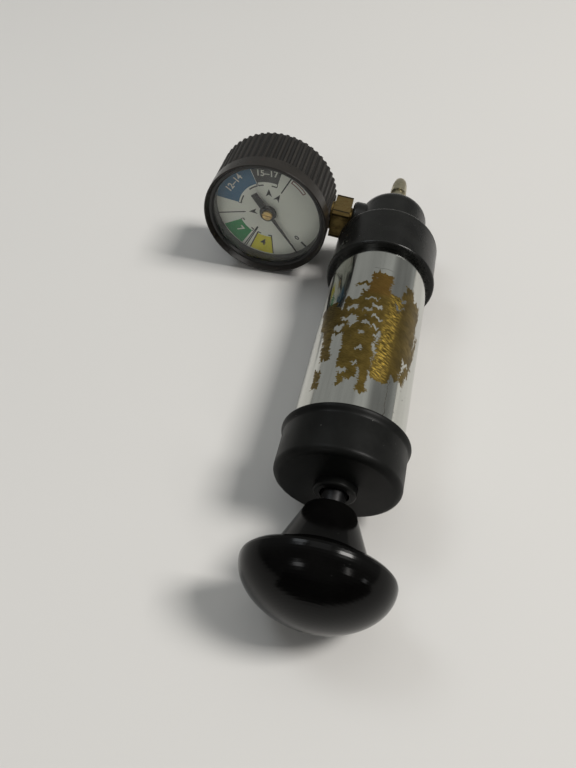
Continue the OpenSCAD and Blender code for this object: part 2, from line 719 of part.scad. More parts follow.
// Gauge: socket, case, cover and window
module gauge_socket() {
    edge = 0.6;
    half = socket_w / 2;
    across = socket_w * sqrt(2) - 2 * edge;
    screw_hole_h = 2.2;
    arbor_hole_h = 0.8;
    color(brass) on_gauge() difference() {
        union() {
            intersection() {
                translate([square_x, -half, -half]) cube([square_x1 - square_x, socket_w, socket_w]);
                rotate([0, 90, 0]) rotate([0, 0, 45]) translate([-across / 2, -across / 2, 0])
                    cube([across, across, square_x1 + 1]);
            }
            translate([block_x1 - eps, 0, 0]) rotate([0, 90, 0])
                cylinder(r = socket_neck_r - seat, h = square_x - block_x1 + 2 * eps);
            translate([square_x1 - eps, 0, 0]) rotate([0, 90, 0]) turned([[0, 0], [socket_thread_d / 2, 0],
                [socket_thread_d / 2, socket_x1 - square_x1 - edge],
                [socket_thread_d / 2 - edge, socket_x1 - square_x1], [0, socket_x1 - square_x1]]);
            translate([block_x0, -block_y, block_z0])
                cube([block_x1 - block_x0, 2 * block_y, block_z1 - block_z0]);
        }
        translate([tube_r, 0, 0]) rotate([0, 90, 0]) cylinder(d = passage_d * 0.8, h = socket_x1);
        tube_arc(tube_root_angle + 1, tube_slot_angle, seat);
        for (p = plate_screw_at) translate([p[0], p[1], block_z1 - screw_hole_h])
            cylinder(r = pivot_r + seat, h = screw_hole_h + 1);
        translate([sector_at[0], sector_at[1], block_z1 - arbor_hole_h]) cylinder(r = arbor_r, h = 2);
    }
}
module gauge_case() {
    inner = case_r - case_wall;
    neck_in = case_neck_r - case_wall;
    ledge = dial_back - seat;
    ledge_w = 0.7;
    ledge_h = 0.9;
    step_z = bezel_z0 - seat;
    step_h = 0.1;
    round = 1.2;
    color(steel) on_gauge() difference() {
        turned(concat([[0, -case_back]], arc(case_r - round, -case_back + round, round, -90, 0),
            [[case_r, step_z - step_h], [case_neck_r, step_z], [case_neck_r, lens_z0 - seat],
             [neck_in, lens_z0 - seat], [neck_in, ledge], [neck_in - ledge_w, ledge],
             [neck_in - ledge_w, ledge - ledge_h], [inner, ledge - 2 * ledge_h],
             [inner, case_wall - case_back], [0, case_wall - case_back]]));
        rotate([0, 90, 0]) cylinder(r = socket_neck_r, h = case_r + 1);
    }
}
module gauge_cover() {
    lip = 0.6;
    pitch = 360 / rib_count;
    rib_foot = 0.32;
    rib_top = 0.14;
    envelope_r = rib_r + 0.3;
    slope = 1.6;
    ribs = [for (k = [0:rib_count - 1], s = [[-rib_foot, 0], [-rib_top, 1], [rib_top, 1], [rib_foot, 0]])
        polar(grip_r + s[1] * (crest_r - grip_r), (k + s[0]) * pitch)];
    color(rubber) on_gauge() difference() {
        union() {
            intersection() {
                translate([0, 0, grip_z0]) linear_extrude(band_z - grip_z0 + 0.5) polygon(ribs);
                turned(concat([[0, grip_z0]],
                    arc(envelope_r - grip_round, grip_z0 + grip_round, grip_round, -90, 0),
                    [[envelope_r, band_z + 1], [0, band_z + 1]]));
            }
            turned(concat([[0, band_z - slope], [grip_r - gap, band_z - slope], [rib_r, band_z]],
                arc(rib_r - lip / 2, grip_z1 - lip / 2, lip / 2, 0, 90), [[0, grip_z1]]));
        }
        turned([[0, -case_back - seat], [case_r + seat, -case_back - seat], [case_r + seat, bezel_z1],
            [rib_r - lip, grip_z1 + eps], [0, grip_z1 + eps]]);
        rotate([0, 90, 0]) cylinder(r = socket_neck_r, h = rib_r + 2);
    }
}
module bezel_ring() {
    inner = case_neck_r + seat;
    lip_in = dial_r - spacer_wall;
    edge = 0.7;
    land = 0.2;
    color(black) on_gauge() turned([[inner, bezel_z0], [case_r, bezel_z0], [case_r, bezel_z1],
        [lip_in + edge, bezel_z1], [lip_in, lens_z1 + seat + land], [lip_in, lens_z1 + seat],
        [inner, lens_z1 + seat]]);
}
module gauge_lens() {
    color([0.9, 0.95, 0.95, 0.25]) on_gauge() translate([0, 0, lens_z0])
        cylinder(r = case_neck_r, h = lens_h);
}
module dial_spacer() {
    top_wall = 0.2;
    color(black) on_gauge() translate([0, 0, dial_z + seat])
        turned([[dial_r - spacer_wall, 0], [dial_r, 0], [dial_r, spacer_h], [dial_r - top_wall, spacer_h]]);
}
module gauge_dial() {
    color([0.88, 0.88, 0.82]) on_gauge() translate([0, 0, dial_back]) ring(dial_r, arbor_r + gap, dial_h);
}

// Gauge movement
module tube_arc(a0, a1, grow) {
    rotate([0, 0, a1]) rotate_extrude(angle = a0 - a1) translate([tube_r, tube_z]) {
        square([tube_t + 2 * grow, tube_w - tube_t], center = true);
        for (s = [-1, 1]) translate([0, s * (tube_w - tube_t) / 2]) circle(r = tube_t / 2 + grow);
    }
}
module bourdon_tube() {
    color(brass) on_gauge() tube_arc(tube_root_angle, tube_tip_angle - 360, 0);
}
module tube_tip() {
    tip_t = 2.6;
    tip_len = 3;
    tip_gap = 0.1;
    ear = 2.4;
    color(brass) on_gauge() {
        rotate([0, 0, tube_tip_angle])
            translate([tube_r - tip_t / 2, -tip_len - tip_gap, tube_z - tube_w / 2])
            cube([tip_t, tip_len, tube_w]);
        translate([tip_at[0], tip_at[1], 0]) {
            rotate([0, 0, tube_tip_angle]) translate([-ear / 2, -ear, 0]) cube([ear, ear, link_z - link_gap]);
            cylinder(r = pivot_r, h = link_z + link_h + link_gap);
            translate([0, 0, link_z + link_h + link_gap])
                cylinder(r = pivot_r + link_slack + gap, h = rivet_h);
        }
    }
}
module gauge_link() {
    eye_w = 0.65;
    big = pivot_r + link_slack + eye_w;
    small = pivot_r + eye_w;
    bar_w = 1.2;
    color(steel) on_gauge() translate([crank_at[0], crank_at[1], link_z]) rotate([0, 0, link_angle])
        difference() {
            union() {
                cylinder(r = small, h = link_h);
                translate([link_len, 0, 0]) cylinder(r = big, h = link_h);
                translate([0, -bar_w / 2, 0]) cube([link_len, bar_w, link_h]);
            }
            translate([0, 0, -1]) cylinder(r = pivot_r + run, h = 3);
            translate([link_len, 0, -1]) cylinder(r = pivot_r + link_slack, h = 3);
        }
}
module link_pin() {
    below = 0.2;
    top = link_z + link_h + link_gap - sector_z + below;
    color(brass) on_gauge() translate([crank_at[0], crank_at[1], sector_z - below]) {
        cylinder(r = pivot_r, h = top + eps);
        translate([0, 0, top]) cylinder(r = pivot_r + 0.45, h = rivet_h);
    }
}
module sector_gear() {
    pitch = 360 / sector_teeth;
    mesh = 180 + sector_angle;
    below = ceil(sector_turn / pitch) + 2;
    above = 2;
    root_r = sector_r - tooth_root * tooth_module;
    rim_w = 1.4;
    low = mesh - (below + 0.2) * pitch;
    high = mesh + (above + 0.2) * pitch;
    arm_w = 1.6;
    hub = 2;
    eye_w = 0.7;
    shoulder = 0.15;
    color(brass) on_gauge() translate([sector_at[0], sector_at[1], 0]) {
        translate([0, 0, sector_z]) linear_extrude(sector_h) difference() {
            union() {
                intersection() {
                    difference() {
                        circle(r = root_r);
                        circle(r = root_r - rim_w);
                    }
                    polygon([[0, 0], for (i = [0:6]) polar(2 * root_r, low + (high - low) * i / 6)]);
                }
                for (k = [-below:above - 1]) rotate([0, 0, mesh + (k + 0.5) * pitch])
                    tooth(sector_r, tooth_half(sector_teeth));
                circle(r = hub);
                for (a = [low + 4, high - 4]) rotate([0, 0, a]) translate([0, -arm_w / 2])
                    square([root_r - rim_w / 2, arm_w]);
                rotate([0, 0, crank_angle]) translate([0, -arm_w / 2]) square([crank_len, arm_w]);
                rotate([0, 0, crank_angle]) translate([crank_len, 0]) circle(r = pivot_r + eye_w);
            }
            rotate([0, 0, crank_angle]) translate([crank_len, 0]) circle(r = pivot_r + seat);
        }
        translate([0, 0, pillar_z + shoulder])
            cylinder(r = arbor_r, h = front_plate_z - pillar_z - 2 * shoulder);
        translate([0, 0, back_plate_z + run])
            cylinder(r = pivot_r, h = front_plate_z + plate_h - back_plate_z);
    }
}
module plate_outline() {
    leg_at = pillar_at[1];
    translate([plate_x0, plate_y0]) square([front_x1 - plate_x0, plate_y1 - plate_y0]);
    translate([leg_at[0] - leg_w / 2, leg_at[1]]) square([leg_w, -leg_at[1]]);
    for (p = pillar_at) translate(p) circle(r = pad_r);
}
module movement_back_plate() {
    color(brass) on_gauge() translate([0, 0, back_plate_z]) linear_extrude(plate_h) difference() {
        union() {
            plate_outline();
            translate([block_x0, foot_y0]) square([foot_x1 - block_x0, plate_y1 - foot_y0]);
        }
        circle(r = pivot_r + run);
        translate(sector_at) circle(r = pivot_r + run);
        for (p = plate_screw_at) translate(p) circle(r = pivot_r + 2 * run);
        for (p = pillar_at) translate(p) circle(r = pivot_r + seat);
    }
}
module movement_front_plate() {
    color(brass) on_gauge() translate([0, 0, front_plate_z]) linear_extrude(plate_h) difference() {
        plate_outline();
        circle(r = arbor_r + run);
        translate(sector_at) circle(r = pivot_r + run);
        for (p = pillar_at) translate(p) circle(r = pivot_r + 2 * run);
        translate(stud_at) circle(r = stud_r + seat);
    }
}
module movement_pillars() {
    pillar_h = front_plate_z - pillar_z - 2 * seat;
    color(brass) on_gauge() for (p = pillar_at) translate([p[0], p[1], 0]) {
        translate([0, 0, pillar_z + seat]) difference() {
            cylinder(r = pillar_r, h = pillar_h);
            translate([0, 0, pillar_h - pillar_screw_h - gap]) cylinder(r = pivot_r + seat, h = pillar_h);
        }
        translate([0, 0, back_plate_z]) cylinder(r = pivot_r, h = plate_h + 2 * seat);
    }
}
module cheese_screw(length) {
    head_r = 1.3;
    head_h = 0.5;
    slot_w = 0.3;
    difference() {
        union() {
            cylinder(r = head_r, h = head_h);
            translate([0, 0, -length]) cylinder(r = pivot_r, h = length + eps);
        }
        translate([-head_r - 1, -slot_w / 2, head_h / 2]) cube([2 * head_r + 2, slot_w, head_h]);
    }
}
module movement_screws() {
    color(steel) on_gauge() {
        for (p = plate_screw_at) translate([p[0], p[1], pillar_z + seat]) cheese_screw(plate_h + 2);
        for (p = pillar_at) translate([p[0], p[1], front_plate_z + plate_h + seat])
            cheese_screw(plate_h + pillar_screw_h);
    }
}
module pinion_arbor() {
    root_r = pinion_r - tooth_root * tooth_module;
    past = 0.25;
    pinion_z = sector_z - past;
    cap_z = pointer_z + pointer_h + hub_h - cap_sink;
    cap_edge = 0.3;
    slot_w = 0.5;
    slot_h = 0.4;
    color(brass) on_gauge() {
        translate([0, 0, pinion_z]) linear_extrude(sector_h + 2 * past) {
            circle(r = root_r);
            for (k = [0:pinion_teeth - 1]) rotate([0, 0, sector_angle + k * 360 / pinion_teeth])
                tooth(pinion_r, tooth_half(pinion_teeth));
        }
        translate([0, 0, back_plate_z + run]) cylinder(r = pivot_r, h = pinion_z - back_plate_z);
        translate([0, 0, pinion_z]) cylinder(r = arbor_r, h = cap_z + eps - pinion_z);
        translate([0, 0, cap_z]) difference() {
            cylinder(r1 = cap_r, r2 = cap_r - cap_edge, h = cap_h);
            translate([-cap_r - 1, -slot_w / 2, cap_h - slot_h]) cube([2 * cap_r + 2, slot_w, cap_h]);
        }
    }
}
module hairspring() {
    steps = 24;
    count = floor(hair_turns * steps);
    mid = [for (i = [0:count]) spring_r0 + (spring_r1 - spring_r0) * i / count];
    turn = hair_turns * 360;
    outer = [for (i = [0:count]) polar(mid[i] + spring_strip / 2, i * 360 / steps - turn)];
    inner = [for (i = [count:-1:0]) polar(mid[i] - spring_strip / 2, i * 360 / steps - turn)];
    color([0.3, 0.35, 0.5]) on_gauge() translate([0, 0, spring_z]) linear_extrude(spring_h)
        polygon(concat(outer, inner));
}
module hairspring_stud() {
    past = 0.1;
    color(brass) on_gauge() translate([stud_at[0], stud_at[1], spring_z - past])
        cylinder(r = stud_r, h = front_plate_z + plate_h - spring_z + past);
}
module pointer() {
    root_w = 1.6;
    tip_w = 0.4;
    tail_w = 2.9;
    hub_edge = 0.5;
    color(black) on_gauge() translate([0, 0, pointer_z]) rotate([0, 0, pointer_rest]) difference() {
        union() {
            linear_extrude(pointer_h) {
                polygon([[0, -root_w / 2], [pointer_len, -tip_w / 2], [pointer_len, tip_w / 2],
                    [0, root_w / 2]]);
                polygon([[0, -root_w], [-tail_len, -tail_w / 2], [-tail_len, tail_w / 2], [0, root_w]]);
            }
            cylinder(r1 = hub_r, r2 = hub_r - hub_edge, h = pointer_h + hub_h - cap_sink - seat);
        }
        translate([0, 0, -1]) cylinder(r = arbor_r + seat, h = pointer_h + hub_h + 2);
    }
}

barrel();
rod_boot();
rod_guide();
rod_bushing();
bumper_ring();
barrel_screws();
head();
head_o_ring();
check_ball();
check_spring();
spring_retainer();
head_cover();
nozzle_washer();
hose_nozzle();
pump_rod();
piston_backing();
piston_cup();
piston_follower();
piston_nut();
handle_neck();
handle_knob();
knob_insert();
gauge_socket();
gauge_case();
gauge_cover();
gauge_dial();
dial_spacer();
gauge_lens();
bezel_ring();
bourdon_tube();
tube_tip();
gauge_link();
link_pin();
sector_gear();
movement_back_plate();
movement_front_plate();
movement_pillars();
movement_screws();
pinion_arbor();
hairspring();
hairspring_stud();
pointer();
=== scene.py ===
"""Radiator pressure tester: finishes, dial print, floor, light and camera.

The pump's frame has +Y along the barrel to the nozzle, measured from the lip of the rod boot.
The gauge's frame has +Z out of the dial and +X along the socket to the pump.
"""

from math import cos, pi, radians, sin

import bmesh
import bpy
from bpy.props import FloatProperty, FloatVectorProperty, PointerProperty
from mathutils import Matrix, Vector


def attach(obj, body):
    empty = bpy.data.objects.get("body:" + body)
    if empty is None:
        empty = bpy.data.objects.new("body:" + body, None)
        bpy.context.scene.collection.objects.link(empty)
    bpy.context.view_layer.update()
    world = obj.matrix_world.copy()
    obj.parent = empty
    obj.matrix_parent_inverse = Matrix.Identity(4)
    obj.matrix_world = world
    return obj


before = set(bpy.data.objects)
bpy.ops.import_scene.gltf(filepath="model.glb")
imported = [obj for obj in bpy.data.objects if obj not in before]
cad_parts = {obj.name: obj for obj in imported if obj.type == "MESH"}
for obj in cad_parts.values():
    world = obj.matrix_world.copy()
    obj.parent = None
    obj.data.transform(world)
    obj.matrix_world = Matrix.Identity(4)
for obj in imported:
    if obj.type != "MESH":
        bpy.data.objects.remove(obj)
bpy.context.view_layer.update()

bl_info = {
    "name": "Radiator pressure tester",
    "version": (1, 0, 0),
    "blender": (4, 5, 0),
    "location": "View3D > Sidebar > Tester",
    "description": "Dresses a radiator pressure tester and sets its floor, light and camera",
    "category": "Object",
}

MM = 0.001
SHARP = radians(35)  # an edge of a finished piece that turns more than this stays sharp
MOULDED_PATCH, METAL_PATCH = 9 * MM, 4 * MM  # size of uneven patches in the finishes

# Colours that only finishes use
DUST = (0.35, 0.35, 0.33)
# The barrel's dark colour serves its dirt and scratch, and a painted dark reflection line
PLATE_DIRT_AND_REFLECTION = (0.06, 0.058, 0.05)
BRASS_STAIN = (0.060, 0.038, 0.015)
BRASS_EDGE_DARK = (0.012, 0.008, 0.005)
RUBBER_BLUSH = (0.055, 0.026, 0.024)
DIAL_DIRT = (0.33, 0.30, 0.22)
INK_GRAIN = (0.45, 0.45, 0.42)

# Foil on the barrel: centre, half width and height, turn. In mm round and along it, and degrees
FOIL_PATCHES = (
    ((-16.8, 42.5), (3.9, 6.6), 7), ((-14.2, 29.5), (2.1, 9.5), 8), ((-14.6, 12.6), (1.5, 4.4), 0),
    ((-10.4, 38.5), (3.4, 6.4), 0), ((-7.2, 45.0), (3.4, 4.2), 0), ((-2.1, 25.8), (5.7, 9.8), 0),
    ((-5.4, 11.7), (1.5, 2.5), 0), ((1.6, 11.9), (1.4, 4.6), 0), ((-2.4, 16.0), (1.7, 4.2), 0),
    ((1.6, 57.2), (4.1, 5.8), -4), ((-4.6, 56.4), (2.6, 0.9), 0), ((1.0, 43.5), (5.4, 10.0), 0),
    ((8.0, 33.8), (3.6, 20.0), -3), ((13.6, 57.5), (2.0, 4.2), 8), ((15.0, 42.5), (5.1, 14.8), -2),
    ((13.0, 26.5), (2.4, 9.0), -8), ((16.6, 22.0), (1.4, 4.4), -12), ((20.4, 33.5), (0.9, 10.5), -9),
)
FOIL_HOLES = (
    ((-6.7, 44.6), (1.7, 0.9)), ((-7.6, 39.0), (2.5, 0.9)), ((-10.4, 34.8), (1.9, 1.2)),
    ((-9.2, 30.6), (1.2, 0.6)), ((-0.4, 49.2), (2.4, 0.45)), ((2.2, 45.4), (1.8, 0.8)),
    ((-1.2, 43.4), (1.5, 0.7)), ((2.2, 40.3), (1.6, 0.6)), ((-0.9, 37.3), (1.3, 0.8)),
    ((2.4, 35.6), (1.3, 0.5)), ((-1.6, 31.6), (0.9, 0.9)), ((3.0, 32.2), (0.9, 0.6)),
    ((-1.5, 25.2), (0.9, 0.6)), ((3.6, 26.3), (0.6, 1.7)), ((-1.7, 18.3), (1.0, 0.6)),
    ((4.3, 12.5), (0.35, 2.6)), ((11.6, 53.2), (1.2, 0.8)), ((9.4, 48.2), (0.8, 1.0)),
    ((11.2, 49.6), (0.7, 0.5)),
)
FOIL_SHINE = ((7.6, 34.0), (2.2, 19.0), -3)
FOIL_REDDER = ((1.6, 57.2), (5, 6))
# A thin dark line along the barrel near the boot: painted reflection of something dark
DARK_REFLECTION_LINE = ((10.9, 9.0), (0.16, 7.4))
SCRATCH = ((1.6, 65.2), (3.6, 0.1))
DIRTY_CORNER = ((15.5, 9), (5, 9))

# Print on the dial. Radii and widths in mm, angles in degrees from the socket's axis
LEVEL_ZONE, LEVEL_RED, LEVEL_LINE, LEVEL_NUMBER = 1, 2, 3, 4
ZONES = (  # tone, inner radius, outer radius, first angle, last angle
    ("blue", 13.6, 23.43, 118.4, 176.5), ("grey", 14.0, 23.43, 79.5, 117.6),
    ("green", 14.2, 23.1, -147.5, -118), ("yellow", 13.8, 23.0, -107, -80),
)
LINES = (  # inner radius, outer radius, angle, width
    (20.3, 23.4, -37.5, 0.9), (10.6, 23.3, -112.4, 0.42), (10.6, 23.3, -114.5, 0.42),
    (10.8, 23.4, -162.4, 0.5), (11.0, 19.8, 66.5, 0.55), (12.4, 13.8, 177, 0.3),
    (12.4, 13.8, 119, 0.3), (12.6, 14.2, 116.6, 0.3), (12.6, 14.2, 79.6, 0.3),
    (12.9, 23.0, -79.6, 0.5), (12.9, 23.0, -107.4, 0.5), (13.0, 14.4, -148, 0.3),
    (13.0, 14.4, -117.4, 0.3),
)
BRACKETS = (  # inner radius, outer radius, first angle, last angle
    (12.3, 12.85, 119, 138), (12.3, 12.85, 158, 177), (12.3, 12.85, 79.6, 90),
    (12.3, 12.85, 106, 116.6), (12.8, 13.35, -148, -143), (12.8, 13.35, -123, -117.4),
    (12.8, 13.35, -107.8, -101), (12.8, 13.35, -86, -79.2),
)
ARROWS = ((7.4, -162.4), (9.0, 95.5), (8.2, 66.5))  # radius, angle
ARROW_SIZE = 1.9
RED_RADII, RED_ANGLES, RED_LINE = (17.9, 19.6), (41, 63), 0.4
NUMBERS = (  # name, words, radius, angle, turn, whether it is pale, size
    ("number_blue", "12–14", 19.0, 149, 59, True, 1.0),
    ("number_grey", "15–17", 18.0, 98, 8, True, 0.95),
    ("number_green", "7", 17.8, -133, -43, True, 1.15),
    ("number_yellow", "4", 17.6, -93.5, -3.5, False, 1.15),
    ("number_zero", "0", 17.6, -37.5, 52.5, False, 0.8),
)
BOLDER = 0.09 * MM
FONT_PER_NUMERAL = 1.4  # font size over the height of its figures

# Stage, in metres and watts
FLOOR_SIZE = 3.0
AIM_KNOB = (0.03, -0.1, 0.02)
LAMPS = (  # name, place, aim, size, power, colour
    ("side_lamp", (1.12, 0.20, 1.62), (0, 0, 0), (0.45, 0.6), 33.0, (1, 0.975, 0.94)),
    ("ceiling", (0.0, 0.25, 1.2), (0, 0.03, 0), (0.6, 0.6), 0.8, (1, 1, 1)),
    ("left_lamp", (-0.52, 0.22, 0.95), (0, 0.02, 0), (0.32, 0.32), 1.7, (0.90, 0.96, 1)),
    ("front_left_lamp", (-0.37, -0.79, 0.62), AIM_KNOB, (0.18, 0.15), 0.55, (1, 1, 1)),
    ("front_right_lamp", (0.65, -0.62, 0.6), AIM_KNOB, (0.13, 0.16), 0.55, (1, 0.97, 0.93)),
    ("low_right_lamp", (0.9, -0.55, 0.22), AIM_KNOB, (0.1, 0.1), 0.12, (1, 1, 1)),
)
ROOM_LEVEL, ROOM_COLOUR = 0.31, (0.99, 1.0, 0.97, 1)
ROOM_FADES = (  # direction, share of it where the fade starts and ends, light there
    ((0, 1, 0), -0.40, 0.20, 0.30, 1.0),
    ((0.65, 0.60, 0.47), 0.90, 0.97, 1.0, 0.62),
    ((0.25, 0.62, 0.74), 0.955, 0.985, 1.0, 1.4),
)
CARD_SIZE, CARD_PLACE = (0.26, 0.068), (0.085, -0.19, 0.036)


def length(name, text, value):
    return FloatProperty(name=name, description=text, default=value * MM, unit="LENGTH",
                         precision=5)


def angle(name, text, value):
    return FloatProperty(name=name, description=text, default=radians(value), subtype="ANGLE")


def tone(name, text, value):
    return FloatVectorProperty(name=name, description=text, default=value, subtype="COLOR",
                               min=0.0, max=1.0)


# Settings a user would change


class TesterPlace(bpy.types.PropertyGroup):
    """Where the pump and its gauge lie"""

    origin: FloatVectorProperty(
        name="Boot lip", description="Centre of the rod boot's lip, where the pump's axis starts",
        default=(0.0282041, -0.0432413, 0.0226868), subtype="TRANSLATION", precision=5)
    tilt: angle("Pump tilt", "How far the nozzle end dips below the knob end", 0.751529)
    port_y: length("Gauge port", "Distance along the pump's axis to the gauge port", 112.73)
    gauge_reach: length("Gauge reach", "Distance from the pump's axis to the gauge's axis", 53.2)
    gauge_rise: angle("Gauge rise", "How far the gauge is turned up about the pump's axis", 6.30525)
    gauge_turn: angle("Gauge turn", "Angle at which the gauge is screwed in, face up", 1.7)


class TesterPump(bpy.types.PropertyGroup):
    """Sizes of the pump's outer pieces"""

    barrel: length("Barrel diameter", "Outer diameter of the chromed barrel", 38.1)


class TesterGauge(bpy.types.PropertyGroup):
    """Sizes of the gauge's cover and of what is printed on its dial"""

    dial_z: length("Dial height", "Height of the dial's face above the socket's axis", 7.1)
    dial_radius: length("Dial radius", "Radius of the dial that shows", 23.47)
    print_lift: length("Print lift", "How far the print stands off the dial", 0.02)
    print_depth: length("Print depth", "Thickness of the print", 0.03)
    numeral: length("Numeral height", "Height of the dial's numbers", 2.9)
    cover_radius: length("Cover radius", "Radius over the tips of the ribs", 26.68)
    rib_height: length("Rib height", "Height of the ribs", 0.65)
    rib_front: length("Rib front", "Where the ribs end at the smooth band, above the socket's axis", 9.3)


class TesterTones(bpy.types.PropertyGroup):
    """Colours of the finishes"""

    chrome: tone("Chrome", "Plated barrel", (0.56, 0.565, 0.53))
    foil: tone("Foil", "Worn gold foil on the barrel", (0.172, 0.120, 0.032))
    # The bright foil tone is a painted highlight on the foil's creases
    foil_glint: tone("Bright foil", "Lines where the foil still shines", (0.95, 0.66, 0.13))
    vinyl: tone("Vinyl", "Rod boot", (0.0050, 0.0052, 0.0048))
    rubber: tone("Rubber", "Head cover", (0.0072, 0.0073, 0.0066))
    grip: tone("Gauge rubber", "Ribbed gauge cover", (0.0125, 0.0104, 0.0083))
    knob: tone("Knob", "Polished knob and neck", (0.0022, 0.0021, 0.0020))
    brass: tone("Brass", "Gauge socket", (0.235, 0.168, 0.062))
    nickel: tone("Nickel", "Hose nozzle", (0.46, 0.42, 0.30))
    dial: tone("Dial", "Painted dial face", (0.84, 0.83, 0.76))
    ink: tone("Ink", "Lines and numbers on the dial", (0.010, 0.010, 0.010))
    blue: tone("Blue zone", "Blue zone of the dial", (0.040, 0.145, 0.27))
    grey: tone("Grey zone", "Dark zone of the dial", (0.060, 0.060, 0.062))
    green: tone("Green zone", "Green zone of the dial", (0.018, 0.28, 0.080))
    yellow: tone("Yellow zone", "Yellow zone of the dial", (0.76, 0.66, 0.012))
    red: tone("Red arc", "Red outlined arc of the dial", (0.19, 0.045, 0.04))
    paper: tone("Floor", "Pale floor", (0.60, 0.590, 0.572))


class TesterCamera(bpy.types.PropertyGroup):
    """Where the picture is taken from"""

    place: FloatVectorProperty(
        name="Camera place", description="Where the camera stands", subtype="TRANSLATION",
        default=(0.0354669, -0.15456, 0.2015159), precision=5)
    turn: FloatVectorProperty(
        name="Camera turn", description="How the camera is turned", subtype="EULER",
        default=(radians(36.841216), radians(0.172852), radians(13.276402)))
    focal: FloatProperty(
        name="Focal length", description="Focal length in mm on a frame 36 mm high", default=29.562,
        subtype="DISTANCE_CAMERA")


# Places


def pump_place(y=0.0):
    """Pump frame, at a distance along its axis"""
    place = bpy.context.scene.tester_place
    lying = Matrix.Translation(place.origin) @ Matrix.Rotation(-place.tilt, 4, "X")
    return lying @ Matrix.Translation((0, y, 0))


def axis_place():
    """Pump frame turned so that its local +Z runs to the nozzle"""
    return pump_place() @ Matrix.Rotation(-pi / 2, 4, "X")


def gauge_place():
    """Gauge frame"""
    place = bpy.context.scene.tester_place
    socket = pump_place(place.port_y) @ Matrix.Rotation(place.gauge_rise, 4, "Y")
    return (socket @ Matrix.Translation((-place.gauge_reach, 0, 0))
            @ Matrix.Rotation(pi / 2 - place.gauge_turn, 4, "X"))


# Shapes


def finish_piece(name, mesh_work, place, material, body):
    """Turns a bmesh into a finished piece in the shared frame, smooth up to an angle"""
    bmesh.ops.remove_doubles(mesh_work, verts=mesh_work.verts, dist=1e-7)
    bmesh.ops.recalc_face_normals(mesh_work, faces=mesh_work.faces)
    mesh_work.transform(place)
    mesh = bpy.data.meshes.new(name)
    mesh_work.to_mesh(mesh)
    mesh_work.free()
    mesh.shade_smooth()
    mesh.set_sharp_from_angle(angle=SHARP)
    mesh.materials.append(material)
    piece = bpy.data.objects.new(name, mesh)
    bpy.context.scene.collection.objects.link(piece)
    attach(piece, body)
    return piece


def polar(r, a):
    return Vector((r * cos(radians(a)), r * sin(radians(a)), 0))


# Finishes


